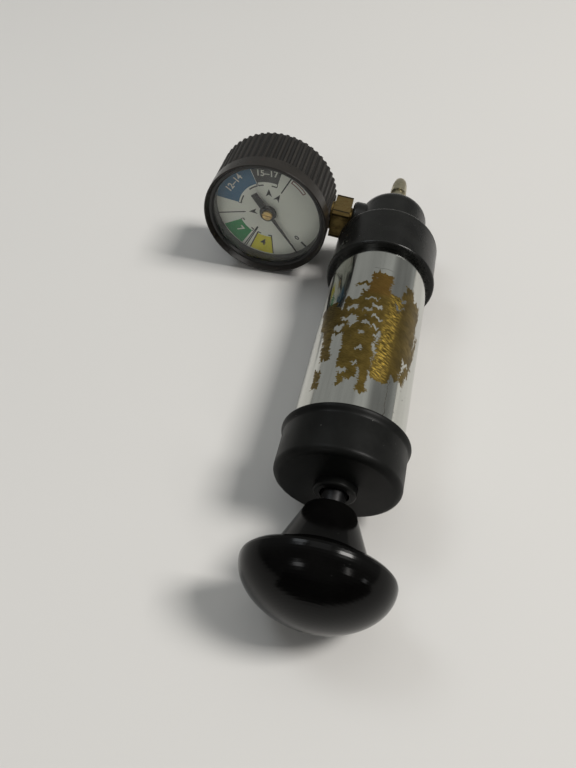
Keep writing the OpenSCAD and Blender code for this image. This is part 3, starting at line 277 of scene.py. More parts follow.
class Finish:
    """A node material: a Principled shader and the few nodes that feed it"""

    def __init__(self, name, colour, metallic=0.0, roughness=0.5, specular=0.5, place=None):
        self.material = bpy.data.materials.new(name)
        self.material.use_nodes = True
        self.nodes = self.material.node_tree.nodes
        self.links = self.material.node_tree.links
        self.shader = self.nodes["Principled BSDF"]
        self.shader.inputs["Base Color"].default_value = (*colour, 1)
        self.shader.inputs["Metallic"].default_value = metallic
        self.shader.inputs["Roughness"].default_value = roughness
        self.shader.inputs["Specular IOR Level"].default_value = specular
        self.where = self.nodes.new("ShaderNodeTexCoord").outputs["Object"]
        if place is not None:
            self.where = self.steps((1, 1, 1), place.to_euler(), place.to_translation())

    def feed(self, socket, source):
        if isinstance(source, bpy.types.NodeSocket):
            self.links.new(source, socket)
        else:
            socket.default_value = source

    def steps(self, size, turn=(0, 0, 0), centre=(0, 0, 0), where=None):
        """Coordinates from a centre, along turned axes, in steps of a size"""
        node = self.nodes.new("ShaderNodeMapping")
        node.vector_type = "TEXTURE"
        self.links.new(where or self.where, node.inputs["Vector"])
        node.inputs["Scale"].default_value = size
        node.inputs["Location"].default_value = centre
        node.inputs["Rotation"].default_value = turn
        return node.outputs["Vector"]

    def noise(self, scale, detail=4.0, roughness=0.55, where=None):
        node = self.nodes.new("ShaderNodeTexNoise")
        self.links.new(where or self.where, node.inputs["Vector"])
        node.inputs["Scale"].default_value = scale
        node.inputs["Detail"].default_value = detail
        node.inputs["Roughness"].default_value = roughness
        return node.outputs["Fac"]

    def vector(self, operation, a, b=(0, 0, 0)):
        node = self.nodes.new("ShaderNodeVectorMath")
        node.operation = operation
        self.feed(node.inputs[0], a)
        self.feed(node.inputs[1], b)
        return node.outputs["Vector"]

    def inside(self, sheet, centre, half, turn=0.0):
        """Depth in mm inside a patch of a flattened surface, given in mm, and below 0 outside it"""
        middle = (centre[0] * MM, centre[1] * MM, 0)
        away = self.vector("ABSOLUTE", self.steps((MM, MM, 1), (0, 0, radians(turn)), middle, sheet))
        left = self.parts(self.vector("SUBTRACT", (*half, 0), away))
        return self.maths("MINIMUM", left[0], left[1])

    def inside_any(self, sheet, patches):
        """Depth in mm inside the nearest of several patches"""
        deepest = None
        for patch in patches:
            depth = self.inside(sheet, *patch)
            deepest = depth if deepest is None else self.maths("MAXIMUM", deepest, depth)
        return deepest

    def shift(self, source, span):
        """Noise made a shift either way, of span from its least to its most"""
        return self.maths("MULTIPLY", self.maths("SUBTRACT", source, 0.5), span)

    def round_axis(self):
        """Distance from the local Z axis, and height along it"""
        x, y, z = self.parts(self.where)
        square = self.maths("ADD", self.maths("MULTIPLY", x, x), self.maths("MULTIPLY", y, y))
        return self.maths("SQRT", square), z

    def specks(self, scale):
        node = self.nodes.new("ShaderNodeTexVoronoi")
        self.links.new(self.where, node.inputs["Vector"])
        node.inputs["Scale"].default_value = scale
        return node.outputs["Distance"]

    def band(self, value, low, high, to_low=0.0, to_high=1.0):
        """Value from low to high made to run from to_low to to_high"""
        node = self.nodes.new("ShaderNodeMapRange")
        node.interpolation_type = "SMOOTHSTEP"
        for socket, source in zip(node.inputs, (value, low, high, to_low, to_high)):
            self.feed(socket, source)
        return node.outputs["Result"]

    def maths(self, operation, a, b=0.0):
        node = self.nodes.new("ShaderNodeMath")
        node.operation = operation
        self.feed(node.inputs[0], a)
        self.feed(node.inputs[1], b)
        return node.outputs[0]

    def mix(self, share, a, b):
        """Colour a, with share of colour b over it"""
        node = self.nodes.new("ShaderNodeMix")
        node.data_type = "RGBA"
        self.feed(node.inputs["Factor"], share)
        self.feed(node.inputs[6], a if isinstance(a, bpy.types.NodeSocket) else (*a, 1))
        self.feed(node.inputs[7], b if isinstance(b, bpy.types.NodeSocket) else (*b, 1))
        return node.outputs[2]

    def parts(self, where):
        node = self.nodes.new("ShaderNodeSeparateXYZ")
        self.links.new(where, node.inputs[0])
        return node.outputs

    def join(self, x, y, z=0.0):
        node = self.nodes.new("ShaderNodeCombineXYZ")
        for socket, source in zip(node.inputs, (x, y, z)):
            self.feed(socket, source)
        return node.outputs[0]

    def bump(self, height, depth, strength=1.0):
        node = self.nodes.new("ShaderNodeBump")
        node.inputs["Strength"].default_value = strength
        node.inputs["Distance"].default_value = depth
        self.links.new(height, node.inputs["Height"])
        self.links.new(node.outputs["Normal"], self.shader.inputs["Normal"])

    def show(self, socket, source):
        self.links.new(source, self.shader.inputs[socket])


def scaled(colour, factor):
    return tuple(min(1.0, c * factor) for c in colour[:3])


def moulded(name, colour, roughness, grain_size, grain_depth, specular=0.2, dust=0.2):
    """Moulded rubber or plastic: uneven tone, scuffs, fine grain and a little dust"""
    look = Finish(name, colour, roughness=roughness, specular=specular)
    patches = look.noise(1 / MOULDED_PATCH, 5, 0.6)
    scuffs = look.band(look.noise(3 / MOULDED_PATCH, 8, 0.7), 0.52, 0.72)
    body = look.mix(look.band(patches, 0.35, 0.7), scaled(colour, 0.8), scaled(colour, 1.2))
    body = look.mix(look.maths("MULTIPLY", scuffs, 0.3), body, scaled(colour, 2.2))
    flecks = look.maths("MULTIPLY", look.band(look.specks(1 / (1.9 * MM)), 0.06, 0.03),
                        look.band(look.noise(1 / (7 * MM), 3), 0.5, 0.62))
    look.show("Base Color", look.mix(look.maths("MULTIPLY", flecks, dust), body, DUST))
    look.show("Roughness", look.band(patches, 0.3, 0.75, roughness * 0.88, min(1.0, roughness * 1.15)))
    look.bump(look.noise(1 / grain_size, 3, 0.6), grain_depth)
    return look.material


def machined(name, colour, roughness, darkening, line_size=0.25 * MM, place=None):
    """Turned or milled metal: fine tool lines, stains and a little grime"""
    look = Finish(name, colour, metallic=1.0, roughness=roughness, place=place)
    stains = look.band(look.noise(1 / METAL_PATCH, 6, 0.65), 0.42, 0.7)
    lines = look.noise(1.0, 2, 0.5, look.steps((line_size * 1.6, line_size * 1.6, line_size)))
    body = look.mix(lines, scaled(colour, 0.88), scaled(colour, 1.1))
    look.show("Base Color", look.mix(look.maths("MULTIPLY", stains, 0.6), body, darkening))
    look.show("Roughness", look.band(stains, 0, 1, roughness, roughness + 0.22))
    look.bump(lines, 0.01 * MM, 0.5)
    return look.material


def dress(finishes):
    """Gives CAD nodes their materials"""
    for material, names in finishes:
        for name in names:
            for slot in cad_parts[name].material_slots:
                slot.material = material


def worn_chrome(name):
    """Chrome plating with streaks, haze and what is left of a gold foil, in the pump's frame"""
    tones = bpy.context.scene.tester_tones
    radius = bpy.context.scene.tester_pump.barrel / 2
    look = Finish(name, tones.chrome, metallic=1.0, roughness=0.1, place=pump_place())
    across, along, up = look.parts(look.where)
    sheet = look.join(look.maths("MULTIPLY", look.maths("ARCTAN2", across, up), radius), along)

    # The foil's outline, torn across the barrel, with holes in it
    tear = look.noise(1.0, 2, 0.6, look.steps((2.8 * MM, 0.5 * MM, 1), where=sheet))
    sway = look.noise(1.0, 2, 0.5, look.steps((3.5 * MM, 5 * MM, 1), where=sheet))
    lift = look.noise(1.0, 3, 0.5, look.steps((1.6 * MM, 9 * MM, 1), centre=(0.03, 0.01, 0), where=sheet))
    shift_x = look.maths("ADD", look.shift(tear, 3.6 * MM), look.shift(sway, 4 * MM))
    torn = look.vector("ADD", sheet, look.join(shift_x, look.shift(lift, 7 * MM)))
    depth = look.inside_any(torn, FOIL_PATCHES)
    hole = look.inside_any(torn, FOIL_HOLES)
    prick_steps = look.steps((1.9 * MM, 0.6 * MM, 1), centre=(0.02, 0, 0), where=sheet)
    pricks = look.band(look.noise(1.0, 3, 0.55, prick_steps), 0.715, 0.73)
    bare = look.maths("MAXIMUM", look.band(hole, -0.05, 0.08), pricks)
    foil = look.maths("MULTIPLY", look.band(depth, 0.0, 0.12), look.maths("SUBTRACT", 1.0, bare))

    # Fine slanting creases in the foil. In a patch on the side facing the light, their crests are painted
    # bright gold as a painted highlight
    crease_steps = look.steps((2.3 * MM, 0.34 * MM, 1), (0, 0, radians(-18)), where=sheet)
    creases = look.noise(1.0, 2, 0.6, crease_steps)
    shine = look.band(look.inside(sheet, *FOIL_SHINE), -1.6, 1.4)
    foil_glint = look.maths("MULTIPLY", look.band(creases, 0.53, 0.57), shine)
    tarnish = look.noise(1 / (4.5 * MM), 4, 0.6, sheet)
    redder = (tones.foil[0] * 1.25, tones.foil[1] * 0.95, tones.foil[2] * 0.9)
    foil_tone = look.mix(look.band(tarnish, 0.35, 0.65), scaled(tones.foil, 0.75), scaled(tones.foil, 1.2))
    foil_tone = look.mix(look.band(look.inside(sheet, *FOIL_REDDER), -1, 2, 0, 0.6), foil_tone, redder)
    foil_tone = look.mix(look.band(creases, 0.38, 0.58, 0.5, 0.0), foil_tone, scaled(tones.foil, 0.2))
    # Painted highlight: bright gold on the creases in the lit patch
    foil_tone = look.mix(foil_glint, foil_tone, tones.foil_glint)

    # The plating: soft streaks along the barrel as painted reflection, haze, a thin dark line near the boot
    # as painted reflection, a scratch and dirt near the boot
    streaks = look.noise(1.0, 3, 0.55, look.steps((2.6 * MM, 46 * MM, 1), where=sheet))
    haze = look.noise(1 / (11 * MM), 4, 0.6)
    # Lighter and darker streaks in the chrome's tone: painted reflection
    plate = look.mix(look.band(streaks, 0.3, 0.7), scaled(tones.chrome, 0.92), scaled(tones.chrome, 1.06))
    wobble = look.noise(1.0, 3, 0.6, look.steps((9 * MM, 2.4 * MM, 1), where=sheet))
    bent_x = look.vector("ADD", sheet, look.join(look.shift(wobble, 2.4 * MM), 0.0))
    # Painted reflection: a thin, wavering dark line near the boot
    dark_reflection_line = look.band(look.inside(bent_x, *DARK_REFLECTION_LINE), -0.08, 0.08)
    bent_y = look.vector("ADD", sheet, look.join(0.0, look.shift(streaks, 2 * MM)))
    scratch = look.band(look.inside(bent_y, *SCRATCH), -0.1, 0.1)
    specks = look.band(look.noise(1 / (0.9 * MM), 4, 0.65, sheet), 0.60, 0.68)
    dirty = look.maths("MULTIPLY", specks, look.band(look.inside(sheet, *DIRTY_CORNER), -3, 3, 0.12, 0.75))
    marks_and_reflection_line = look.maths("MAXIMUM", dark_reflection_line, look.maths("MULTIPLY", scratch, 0.8))
    marks_and_reflection_line = look.maths("MAXIMUM", marks_and_reflection_line, dirty)
    plate = look.mix(marks_and_reflection_line, plate, PLATE_DIRT_AND_REFLECTION)
    look.show("Base Color", look.mix(foil, plate, foil_tone))
    plate_rough = look.maths("ADD", look.band(haze, 0.3, 0.8, 0.07, 0.17), look.maths("MULTIPLY", marks_and_reflection_line, 0.4))
    foil_rough = look.band(creases, 0.35, 0.6, 0.5, 0.3)
    plate_part = look.maths("MULTIPLY", plate_rough, look.maths("SUBTRACT", 1.0, foil))
    look.show("Roughness", look.maths("ADD", plate_part, look.maths("MULTIPLY", foil_rough, foil)))

    # The foil's outline stays out of the bump: with it the barrel rendered black
    relief = look.maths("MULTIPLY", look.maths("MULTIPLY", creases, shine), 1.3)
    look.bump(look.maths("ADD", relief, look.maths("MULTIPLY", streaks, 0.12)), 0.05 * MM, 0.6)
    return look.material


def dirty_brass(name):
    """Brass gone brown, with a dark line on each face near its edges, in the gauge's frame"""
    tones = bpy.context.scene.tester_tones
    look = Finish(name, tones.brass, metallic=1.0, roughness=0.4, place=gauge_place())
    stains = look.band(look.noise(1 / (3.2 * MM), 6, 0.7), 0.35, 0.68)
    lines = look.noise(1.0, 3, 0.5, look.steps((6 * MM, 0.3 * MM, 0.3 * MM)))
    body = look.mix(lines, scaled(tones.brass, 0.75), scaled(tones.brass, 1.2))
    body = look.mix(look.maths("MULTIPLY", stains, 0.7), body, BRASS_STAIN)
    x, y, z = look.parts(look.vector("ABSOLUTE", look.where))
    lower = look.maths("MINIMUM", y, z)
    # A dark line on each face, about 5 to 6 mm out from the socket's axis
    darkening = look.maths("MULTIPLY", look.band(lower, 4.7 * MM, 5.1 * MM), look.band(lower, 6.0 * MM, 5.6 * MM))
    look.show("Base Color", look.mix(look.maths("MULTIPLY", darkening, 0.85), body, BRASS_EDGE_DARK))
    look.show("Roughness", look.band(stains, 0, 1, 0.34, 0.6))
    look.bump(look.maths("ADD", lines, stains), 0.02 * MM, 0.5)
    return look.material


def gauge_rubber(name):
    """Old ribbed rubber: worn pale on the tips of the ribs, darker between them as painted shade, reddish
    here and there
    """
    tones = bpy.context.scene.tester_tones
    gauge = bpy.context.scene.tester_gauge
    look = Finish(name, tones.grip, roughness=0.5, specular=0.35, place=gauge_place())
    reach, z = look.round_axis()
    patches = look.noise(1 / (8 * MM), 6, 0.65)
    front = look.band(z, gauge.rib_front, gauge.rib_front + 0.3 * MM)
    fine = look.noise(1 / (0.9 * MM), 4, 0.7)
    tips = look.band(reach, gauge.cover_radius - gauge.rib_height, gauge.cover_radius + 0.1 * MM)
    tips = look.maths("MAXIMUM", tips, front)
    # Between the ribs the tone falls to 0.45 of the rubber's: painted shade in the grooves
    body = look.mix(look.maths("MULTIPLY", patches, tips), scaled(tones.grip, 0.45), scaled(tones.grip, 1.5))
    wear = look.maths("MULTIPLY", tips, look.band(fine, 0.35, 0.7))
    body = look.mix(look.maths("MULTIPLY", wear, 0.4), body, scaled(tones.grip, 2.2))
    red = look.maths("MULTIPLY", look.band(look.noise(1 / (5 * MM), 3, 0.5), 0.64, 0.78), tips)
    body = look.mix(look.maths("MULTIPLY", red, 0.5), body, RUBBER_BLUSH)
    look.show("Base Color", body)
    rough = look.band(patches, 0.3, 0.75, 0.42, 0.66)
    look.show("Roughness", look.maths("SUBTRACT", rough, look.maths("MULTIPLY", front, 0.16)))
    look.bump(fine, 0.03 * MM, 0.6)
    return look.material


def painted_dial(name):
    """White painted dial, slightly yellowed and dusty near its edge, in the gauge's frame"""
    tones = bpy.context.scene.tester_tones
    gauge = bpy.context.scene.tester_gauge
    look = Finish(name, tones.dial, roughness=0.45, specular=0.4, place=gauge_place())
    reach = look.round_axis()[0]
    dirt = look.noise(1 / (6 * MM), 6, 0.6)
    rim = look.maths("MULTIPLY", look.band(reach, gauge.dial_radius * 0.86, gauge.dial_radius), dirt)
    body = look.mix(dirt, scaled(tones.dial, 0.94), scaled(tones.dial, 1.05))
    look.show("Base Color", look.mix(look.maths("MULTIPLY", rim, 0.5), body, DIAL_DIRT))
    look.show("Roughness", look.band(dirt, 0.3, 0.7, 0.4, 0.55))
    look.bump(look.noise(1 / (0.5 * MM), 2), 0.004 * MM, 0.4)
    return look.material


def printed(name, colour):
    """Printing ink: a little uneven and faded"""
    look = Finish(name, colour, roughness=0.5, specular=0.35, place=gauge_place())
    fade = look.noise(1 / (2.4 * MM), 5, 0.65)
    body = look.mix(fade, scaled(colour, 0.85), scaled(colour, 1.2))
    grain = look.band(look.noise(1 / (0.35 * MM), 2), 0.55, 0.75)
    look.show("Base Color", look.mix(look.maths("MULTIPLY", grain, 0.12), body, INK_GRAIN))
    look.show("Roughness", look.band(fade, 0.3, 0.7, 0.42, 0.6))
    return look.material


def clear_lens(name):
    """Clear plastic with fine scratches. Lamps reach the dial through it"""
    look = Finish(name, (0.93, 0.95, 0.93), roughness=0.04, place=gauge_place())
    look.shader.inputs["Transmission Weight"].default_value = 1.0
    look.shader.inputs["IOR"].default_value = 1.40
    look.shader.inputs["Specular IOR Level"].default_value = 0.3
    smear = look.noise(1 / (9 * MM), 5, 0.6)
    look.show("Roughness", look.band(smear, 0.35, 0.8, 0.015, 0.09))
    look.bump(look.noise(1.0, 2, 0.5, look.steps((0.2 * MM, 6 * MM, MM), (0, 0, 0.7))), 0.004 * MM, 0.3)
    rays = look.nodes.new("ShaderNodeLightPath")
    through = look.nodes.new("ShaderNodeBsdfTransparent")
    through.inputs["Color"].default_value = (0.9, 0.92, 0.9, 1)
    choose = look.nodes.new("ShaderNodeMixShader")
    look.links.new(rays.outputs["Is Shadow Ray"], choose.inputs["Fac"])
    look.links.new(look.shader.outputs[0], choose.inputs[1])
    look.links.new(through.outputs[0], choose.inputs[2])
    look.links.new(choose.outputs[0], look.nodes["Material Output"].inputs["Surface"])
    return look.material


# Pieces


class TESTER_OT_barrel(bpy.types.Operator):
    """Chromed barrel with the rest of a gold foil"""

    bl_idname = "tester.barrel"
    bl_label = "Barrel"

    def execute(self, context):
        dress([(worn_chrome("worn_chrome"), ["barrel"])])
        return {"FINISHED"}


class TESTER_OT_boot(bpy.types.Operator):
    """Rod boot in dull black vinyl"""

    bl_idname = "tester.boot"
    bl_label = "Rod boot"

    def execute(self, context):
        tones = context.scene.tester_tones
        vinyl = moulded("boot_vinyl", tones.vinyl, 0.40, 0.5 * MM, 0.010 * MM, specular=0.1, dust=0.8)
        dress([(vinyl, ["rod_boot"])])
        return {"FINISHED"}


class TESTER_OT_handle(bpy.types.Operator):
    """Polished knob, flared neck and rod"""

    bl_idname = "tester.handle"
    bl_label = "Handle"

    def execute(self, context):
        tones = context.scene.tester_tones
        polish = moulded("knob_polish", tones.knob, 0.16, 1.2 * MM, 0.001 * MM, specular=0.12, dust=0.1)
        gloss = moulded("neck_gloss", tones.knob, 0.12, 0.9 * MM, 0.001 * MM, specular=0.10, dust=0.1)
        rod = machined("rod_steel", (0.05, 0.05, 0.052), 0.3, (0.02, 0.018, 0.016))
        dress([(polish, ["handle_knob"]), (gloss, ["handle_neck"]), (rod, ["pump_rod"])])
        return {"FINISHED"}


class TESTER_OT_head(bpy.types.Operator):
    """Rubber head cover and the nickelled hose nozzle"""

    bl_idname = "tester.head"
    bl_label = "Head"

    def execute(self, context):
        tones = context.scene.tester_tones
        rubber = moulded("head_rubber", tones.rubber, 0.28, 0.55 * MM, 0.005 * MM, specular=0.24, dust=0.3)
        nickel = machined("nickel", tones.nickel, 0.3, (0.16, 0.14, 0.10), place=axis_place())
        dress([(rubber, ["head_cover"]), (nickel, ["hose_nozzle"])])
        return {"FINISHED"}


class TESTER_OT_gauge(bpy.types.Operator):
    """Gauge cover, socket, dial, window and pointer"""

    bl_idname = "tester.gauge"
    bl_label = "Gauge"

    def execute(self, context):
        tones = context.scene.tester_tones
        black = moulded("bezel_black", (0.012, 0.012, 0.0115), 0.3, 0.4 * MM, 0.004 * MM, specular=0.5)
        needle = moulded("pointer_black", (0.010, 0.0095, 0.009), 0.4, 0.3 * MM, 0.002 * MM, specular=0.2)
        dress([
            (gauge_rubber("gauge_rubber"), ["gauge_cover"]),
            (dirty_brass("dirty_brass"), ["gauge_socket"]),
            (painted_dial("painted_dial"), ["gauge_dial"]),
            (black, ["bezel_ring", "dial_spacer"]),
            (needle, ["pointer"]),
            (machined("bright_brass", (0.62, 0.43, 0.17), 0.28, (0.2, 0.13, 0.05)), ["pinion_arbor"]),
            (clear_lens("clear_lens"), ["gauge_lens"]),
        ])
        return {"FINISHED"}


class TESTER_OT_print(bpy.types.Operator):
    """Zones, lines and numbers printed on the dial"""

    bl_idname = "tester.dial_print"
    bl_label = "Dial print"

    def wedge(self, work, r0, r1, a0, a1):
        """Part of a ring, from angle a0 to a1"""
        ends = [work.verts.new(polar(r * MM, a0)) for r in (r0, r1)]
        edge = work.edges.new(ends)
        bmesh.ops.spin(work, geom=ends + [edge], cent=(0, 0, 0), axis=(0, 0, 1), angle=radians(a1 - a0),
                       steps=max(2, int(abs(a1 - a0) / 3)), use_merge=False)

    def line(self, work, r0, r1, a, wide):
        """Radial line at angle a"""
        ends = [work.verts.new((r * MM, -wide / 2 * MM, 0)) for r in (r0, r1)]
        edge = work.edges.new(ends)
        made = bmesh.ops.extrude_edge_only(work, edges=[edge])["geom"]
        moved = [v for v in made if isinstance(v, bmesh.types.BMVert)]
        bmesh.ops.translate(work, vec=(0, wide * MM, 0), verts=moved)
        bmesh.ops.rotate(work, matrix=Matrix.Rotation(radians(a), 3, "Z"), verts=ends + moved)

    def arrow(self, work, r, a, size):
        """Notched arrowhead with its point outwards at radius r"""
        shape = [(r + size, 0), (r - size, -0.72 * size), (r - 0.45 * size, 0), (r - size, 0.72 * size)]
        corners = [work.verts.new((x * MM, y * MM, 0)) for x, y in shape]
        bmesh.ops.rotate(work, matrix=Matrix.Rotation(radians(a), 3, "Z"), verts=corners)
        work.faces.new((corners[0], corners[1], corners[2]))
        work.faces.new((corners[0], corners[2], corners[3]))

    def stamp(self, name, work, material, level):
        """Gives flat work its thickness and lays it on the dial"""
        gauge = bpy.context.scene.tester_gauge
        made = bmesh.ops.extrude_face_region(work, geom=work.faces[:])["geom"]
        moved = [v for v in made if isinstance(v, bmesh.types.BMVert)]
        bmesh.ops.translate(work, vec=(0, 0, gauge.print_depth), verts=moved)
        place = gauge_place() @ Matrix.Translation((0, 0, gauge.dial_z + gauge.print_lift * level))
        finish_piece(name, work, place, material, "pump_body")

    def number(self, name, words, r, a, turn, material, size):
        """A number whose middle is at radius r and angle a"""
        gauge = bpy.context.scene.tester_gauge
        curve = bpy.data.curves.new(name, "FONT")
        curve.body = words
        curve.size = gauge.numeral * size * FONT_PER_NUMERAL
        curve.align_x = "CENTER"
        curve.align_y = "CENTER"
        curve.resolution_u = 3
        curve.offset = BOLDER
        words_object = bpy.data.objects.new(name + "_words", curve)
        bpy.context.scene.collection.objects.link(words_object)
        bpy.context.view_layer.update()
        flat = words_object.to_mesh()
        work = bmesh.new()
        work.from_mesh(flat)
        words_object.to_mesh_clear()
        bpy.data.objects.remove(words_object)
        bmesh.ops.remove_doubles(work, verts=work.verts, dist=1e-6)
        work.transform(Matrix.Translation(polar(r * MM, a)) @ Matrix.Rotation(radians(turn), 4, "Z"))
        self.stamp(name, work, material, LEVEL_NUMBER)

    def execute(self, context):
        tones = context.scene.tester_tones
        ink = printed("dial_ink", tones.ink)
        pale = printed("pale_ink", scaled(tones.dial, 0.85))
        for zone, r0, r1, a0, a1 in ZONES:
            work = bmesh.new()
            self.wedge(work, r0, r1, a0, a1)
            name = "zone_" + zone
            self.stamp(name, work, printed(name + "_ink", getattr(tones, zone)), LEVEL_ZONE)
        lines = bmesh.new()
        for r0, r1, a, wide in LINES:
            self.line(lines, r0, r1, a, wide)
        for r0, r1, a0, a1 in BRACKETS:
            self.wedge(lines, r0, r1, a0, a1)
        for r, a in ARROWS:
            self.arrow(lines, r, a, ARROW_SIZE)
        self.stamp("dial_lines", lines, ink, LEVEL_LINE)
        red = bmesh.new()
        inner, outer = RED_RADII
        for r0, r1 in ((inner, inner + RED_LINE), (outer - RED_LINE, outer)):
            self.wedge(red, r0, r1, *RED_ANGLES)
        for a in RED_ANGLES:
            self.line(red, inner, outer, a, RED_LINE)
        self.stamp("dial_red_arc", red, printed("red_ink", tones.red), LEVEL_RED)
        for name, words, r, a, turn, is_pale, size in NUMBERS:
            self.number(name, words, r, a, turn, pale if is_pale else ink, size)
        return {"FINISHED"}


class TESTER_OT_inner(bpy.types.Operator):
    """Finishes of the pieces inside the pump and the gauge"""

    bl_idname = "tester.inner"
    bl_label = "Inner pieces"

    def execute(self, context):
        cast = machined("zinc_casting", (0.42, 0.43, 0.44), 0.45, (0.2, 0.2, 0.2), line_size=0.8 * MM)
        steel = machined("plain_steel", (0.52, 0.53, 0.54), 0.28, (0.25, 0.24, 0.22))
        works = machined("movement_brass", (0.66, 0.48, 0.21), 0.26, (0.32, 0.22, 0.09), line_size=0.15 * MM)
        spring = machined("spring_steel", (0.34, 0.36, 0.42), 0.25, (0.12, 0.12, 0.14), line_size=0.1 * MM)
        seal = moulded("seal_rubber", (0.016, 0.016, 0.016), 0.6, 0.4 * MM, 0.01 * MM)
        leather = moulded("cup_leather", (0.17, 0.085, 0.04), 0.62, 0.5 * MM, 0.05 * MM)
        fibre = moulded("red_fibre", (0.23, 0.06, 0.04), 0.6, 0.3 * MM, 0.02 * MM)
        nylon = moulded("nylon", (0.36, 0.35, 0.30), 0.42, 0.6 * MM, 0.01 * MM, specular=0.5)
        dress([
            (cast, ["head", "rod_guide", "piston_backing"]),
            (steel, ["barrel_screws", "piston_nut", "piston_follower", "gauge_case", "movement_screws",
                     "gauge_link", "check_ball"]),
            (works, ["knob_insert", "spring_retainer", "bourdon_tube", "tube_tip", "link_pin", "sector_gear",
                     "movement_back_plate", "movement_front_plate", "movement_pillars", "hairspring_stud"]),
            (spring, ["check_spring", "hairspring"]),
            (seal, ["bumper_ring", "head_o_ring"]),
            (leather, ["piston_cup"]),
            (fibre, ["nozzle_washer"]),
            (nylon, ["rod_bushing"]),
        ])
        return {"FINISHED"}


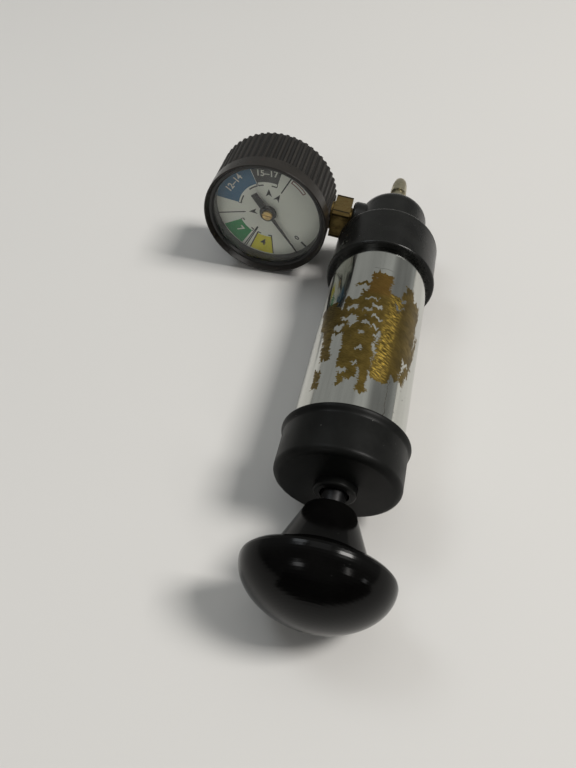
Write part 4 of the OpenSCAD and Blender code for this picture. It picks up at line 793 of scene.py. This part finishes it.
class TESTER_OT_stage(bpy.types.Operator):
    """Pale floor, soft light and the camera"""

    bl_idname = "tester.stage"
    bl_label = "Stage"

    def lamp(self, name, place, aim, size, power, colour):
        data = bpy.data.lights.new(name, "AREA")
        data.shape = "RECTANGLE"
        data.size, data.size_y = size
        data.energy = power
        data.color = colour
        lamp = bpy.data.objects.new(name, data)
        lamp.location = place
        lamp.rotation_euler = (Vector(aim) - Vector(place)).to_track_quat("-Z", "Y").to_euler()
        bpy.context.scene.collection.objects.link(lamp)

    def room(self, scene):
        """A soft grey room, dimmer towards the front and low on the right"""
        world = bpy.data.worlds.new("soft_room")
        world.use_nodes = True
        nodes, links = world.node_tree.nodes, world.node_tree.links
        facing = nodes.new("ShaderNodeTexCoord").outputs["Generated"]
        light = None
        for toward, low, high, at_low, at_high in ROOM_FADES:
            aim = nodes.new("ShaderNodeVectorMath")
            aim.operation = "DOT_PRODUCT"
            aim.inputs[1].default_value = toward
            links.new(facing, aim.inputs[0])
            part = nodes.new("ShaderNodeMapRange")
            part.interpolation_type = "SMOOTHSTEP"
            for socket, value in zip(part.inputs[1:5], (low, high, at_low, at_high)):
                socket.default_value = value
            links.new(aim.outputs["Value"], part.inputs["Value"])
            if light is None:
                light = part.outputs["Result"]
            else:
                both = nodes.new("ShaderNodeMath")
                both.operation = "MULTIPLY"
                links.new(light, both.inputs[0])
                links.new(part.outputs["Result"], both.inputs[1])
                light = both.outputs[0]
        level = nodes.new("ShaderNodeMath")
        level.operation = "MULTIPLY"
        level.inputs[1].default_value = ROOM_LEVEL
        links.new(light, level.inputs[0])
        nodes["Background"].inputs["Color"].default_value = ROOM_COLOUR
        links.new(level.outputs[0], nodes["Background"].inputs["Strength"])
        scene.world = world

    def dark_card(self, scene):
        """A black card low in front, seen only in polished pieces"""
        work = bmesh.new()
        bmesh.ops.create_grid(work, x_segments=1, y_segments=1, size=0.5)
        bmesh.ops.scale(work, vec=(*CARD_SIZE, 1), verts=work.verts)
        work.transform(Matrix.Translation(CARD_PLACE) @ Matrix.Rotation(pi / 2, 4, "X"))
        mesh = bpy.data.meshes.new("dark_card")
        work.to_mesh(mesh)
        work.free()
        mesh.materials.append(moulded("card_black", (0.004, 0.004, 0.004), 0.9, MM, 0.01 * MM, dust=0.0))
        card = bpy.data.objects.new("dark_card", mesh)
        card.visible_camera = card.visible_shadow = card.visible_diffuse = card.visible_transmission = False
        scene.collection.objects.link(card)

    def execute(self, context):
        scene = context.scene
        look = Finish("pale_floor", scene.tester_tones.paper, roughness=0.75, specular=0.3)
        cloud = look.noise(2.2, 3, 0.5)
        tint = look.mix(cloud, scaled(scene.tester_tones.paper, 0.96), scaled(scene.tester_tones.paper, 1.03))
        look.show("Base Color", tint)
        look.bump(look.noise(900, 3), 0.02 * MM, 0.3)
        work = bmesh.new()
        bmesh.ops.create_grid(work, x_segments=1, y_segments=1, size=FLOOR_SIZE)
        mesh = bpy.data.meshes.new("floor")
        work.to_mesh(mesh)
        work.free()
        mesh.materials.append(look.material)
        floor = bpy.data.objects.new("floor", mesh)
        scene.collection.objects.link(floor)

        self.room(scene)
        for lamp in LAMPS:
            self.lamp(*lamp)
        self.dark_card(scene)

        view = scene.tester_camera
        data = bpy.data.cameras.new("camera")
        data.sensor_fit = "VERTICAL"
        data.sensor_height = 36
        data.lens = view.focal
        data.clip_start = 0.005
        camera = bpy.data.objects.new("camera", data)
        camera.location = view.place
        camera.rotation_euler = view.turn
        scene.collection.objects.link(camera)
        scene.camera = camera
        scene.view_settings.view_transform = "Standard"
        return {"FINISHED"}


class TESTER_PT_panel(bpy.types.Panel):
    """Lists the steps and settings of the tester"""

    bl_label = "Tester"
    bl_idname = "TESTER_PT_panel"
    bl_space_type = "VIEW_3D"
    bl_region_type = "UI"
    bl_category = "Tester"

    def draw(self, context):
        for step in STEPS:
            self.layout.operator(step.bl_idname)
        for group in ("tester_place", "tester_pump", "tester_gauge", "tester_tones", "tester_camera"):
            settings = getattr(context.scene, group)
            box = self.layout.box()
            for name in settings.__annotations__:
                box.prop(settings, name)


GROUPS = {
    "tester_place": TesterPlace,
    "tester_pump": TesterPump,
    "tester_gauge": TesterGauge,
    "tester_tones": TesterTones,
    "tester_camera": TesterCamera,
}
STEPS = (TESTER_OT_stage, TESTER_OT_inner, TESTER_OT_barrel, TESTER_OT_boot, TESTER_OT_handle, TESTER_OT_head,
         TESTER_OT_gauge, TESTER_OT_print)


def register():
    for name, group in GROUPS.items():
        bpy.utils.register_class(group)
        setattr(bpy.types.Scene, name, PointerProperty(type=group))
    for item in (*STEPS, TESTER_PT_panel):
        bpy.utils.register_class(item)


def unregister():
    for item in (TESTER_PT_panel, *reversed(STEPS)):
        bpy.utils.unregister_class(item)
    for name, group in GROUPS.items():
        delattr(bpy.types.Scene, name)
        bpy.utils.unregister_class(group)


def main():
    register()
    bpy.ops.tester.stage()
    bpy.ops.tester.inner()
    bpy.ops.tester.barrel()
    bpy.ops.tester.boot()
    bpy.ops.tester.handle()
    bpy.ops.tester.head()
    bpy.ops.tester.gauge()
    bpy.ops.tester.dial_print()


if __name__ == "__main__":
    main()
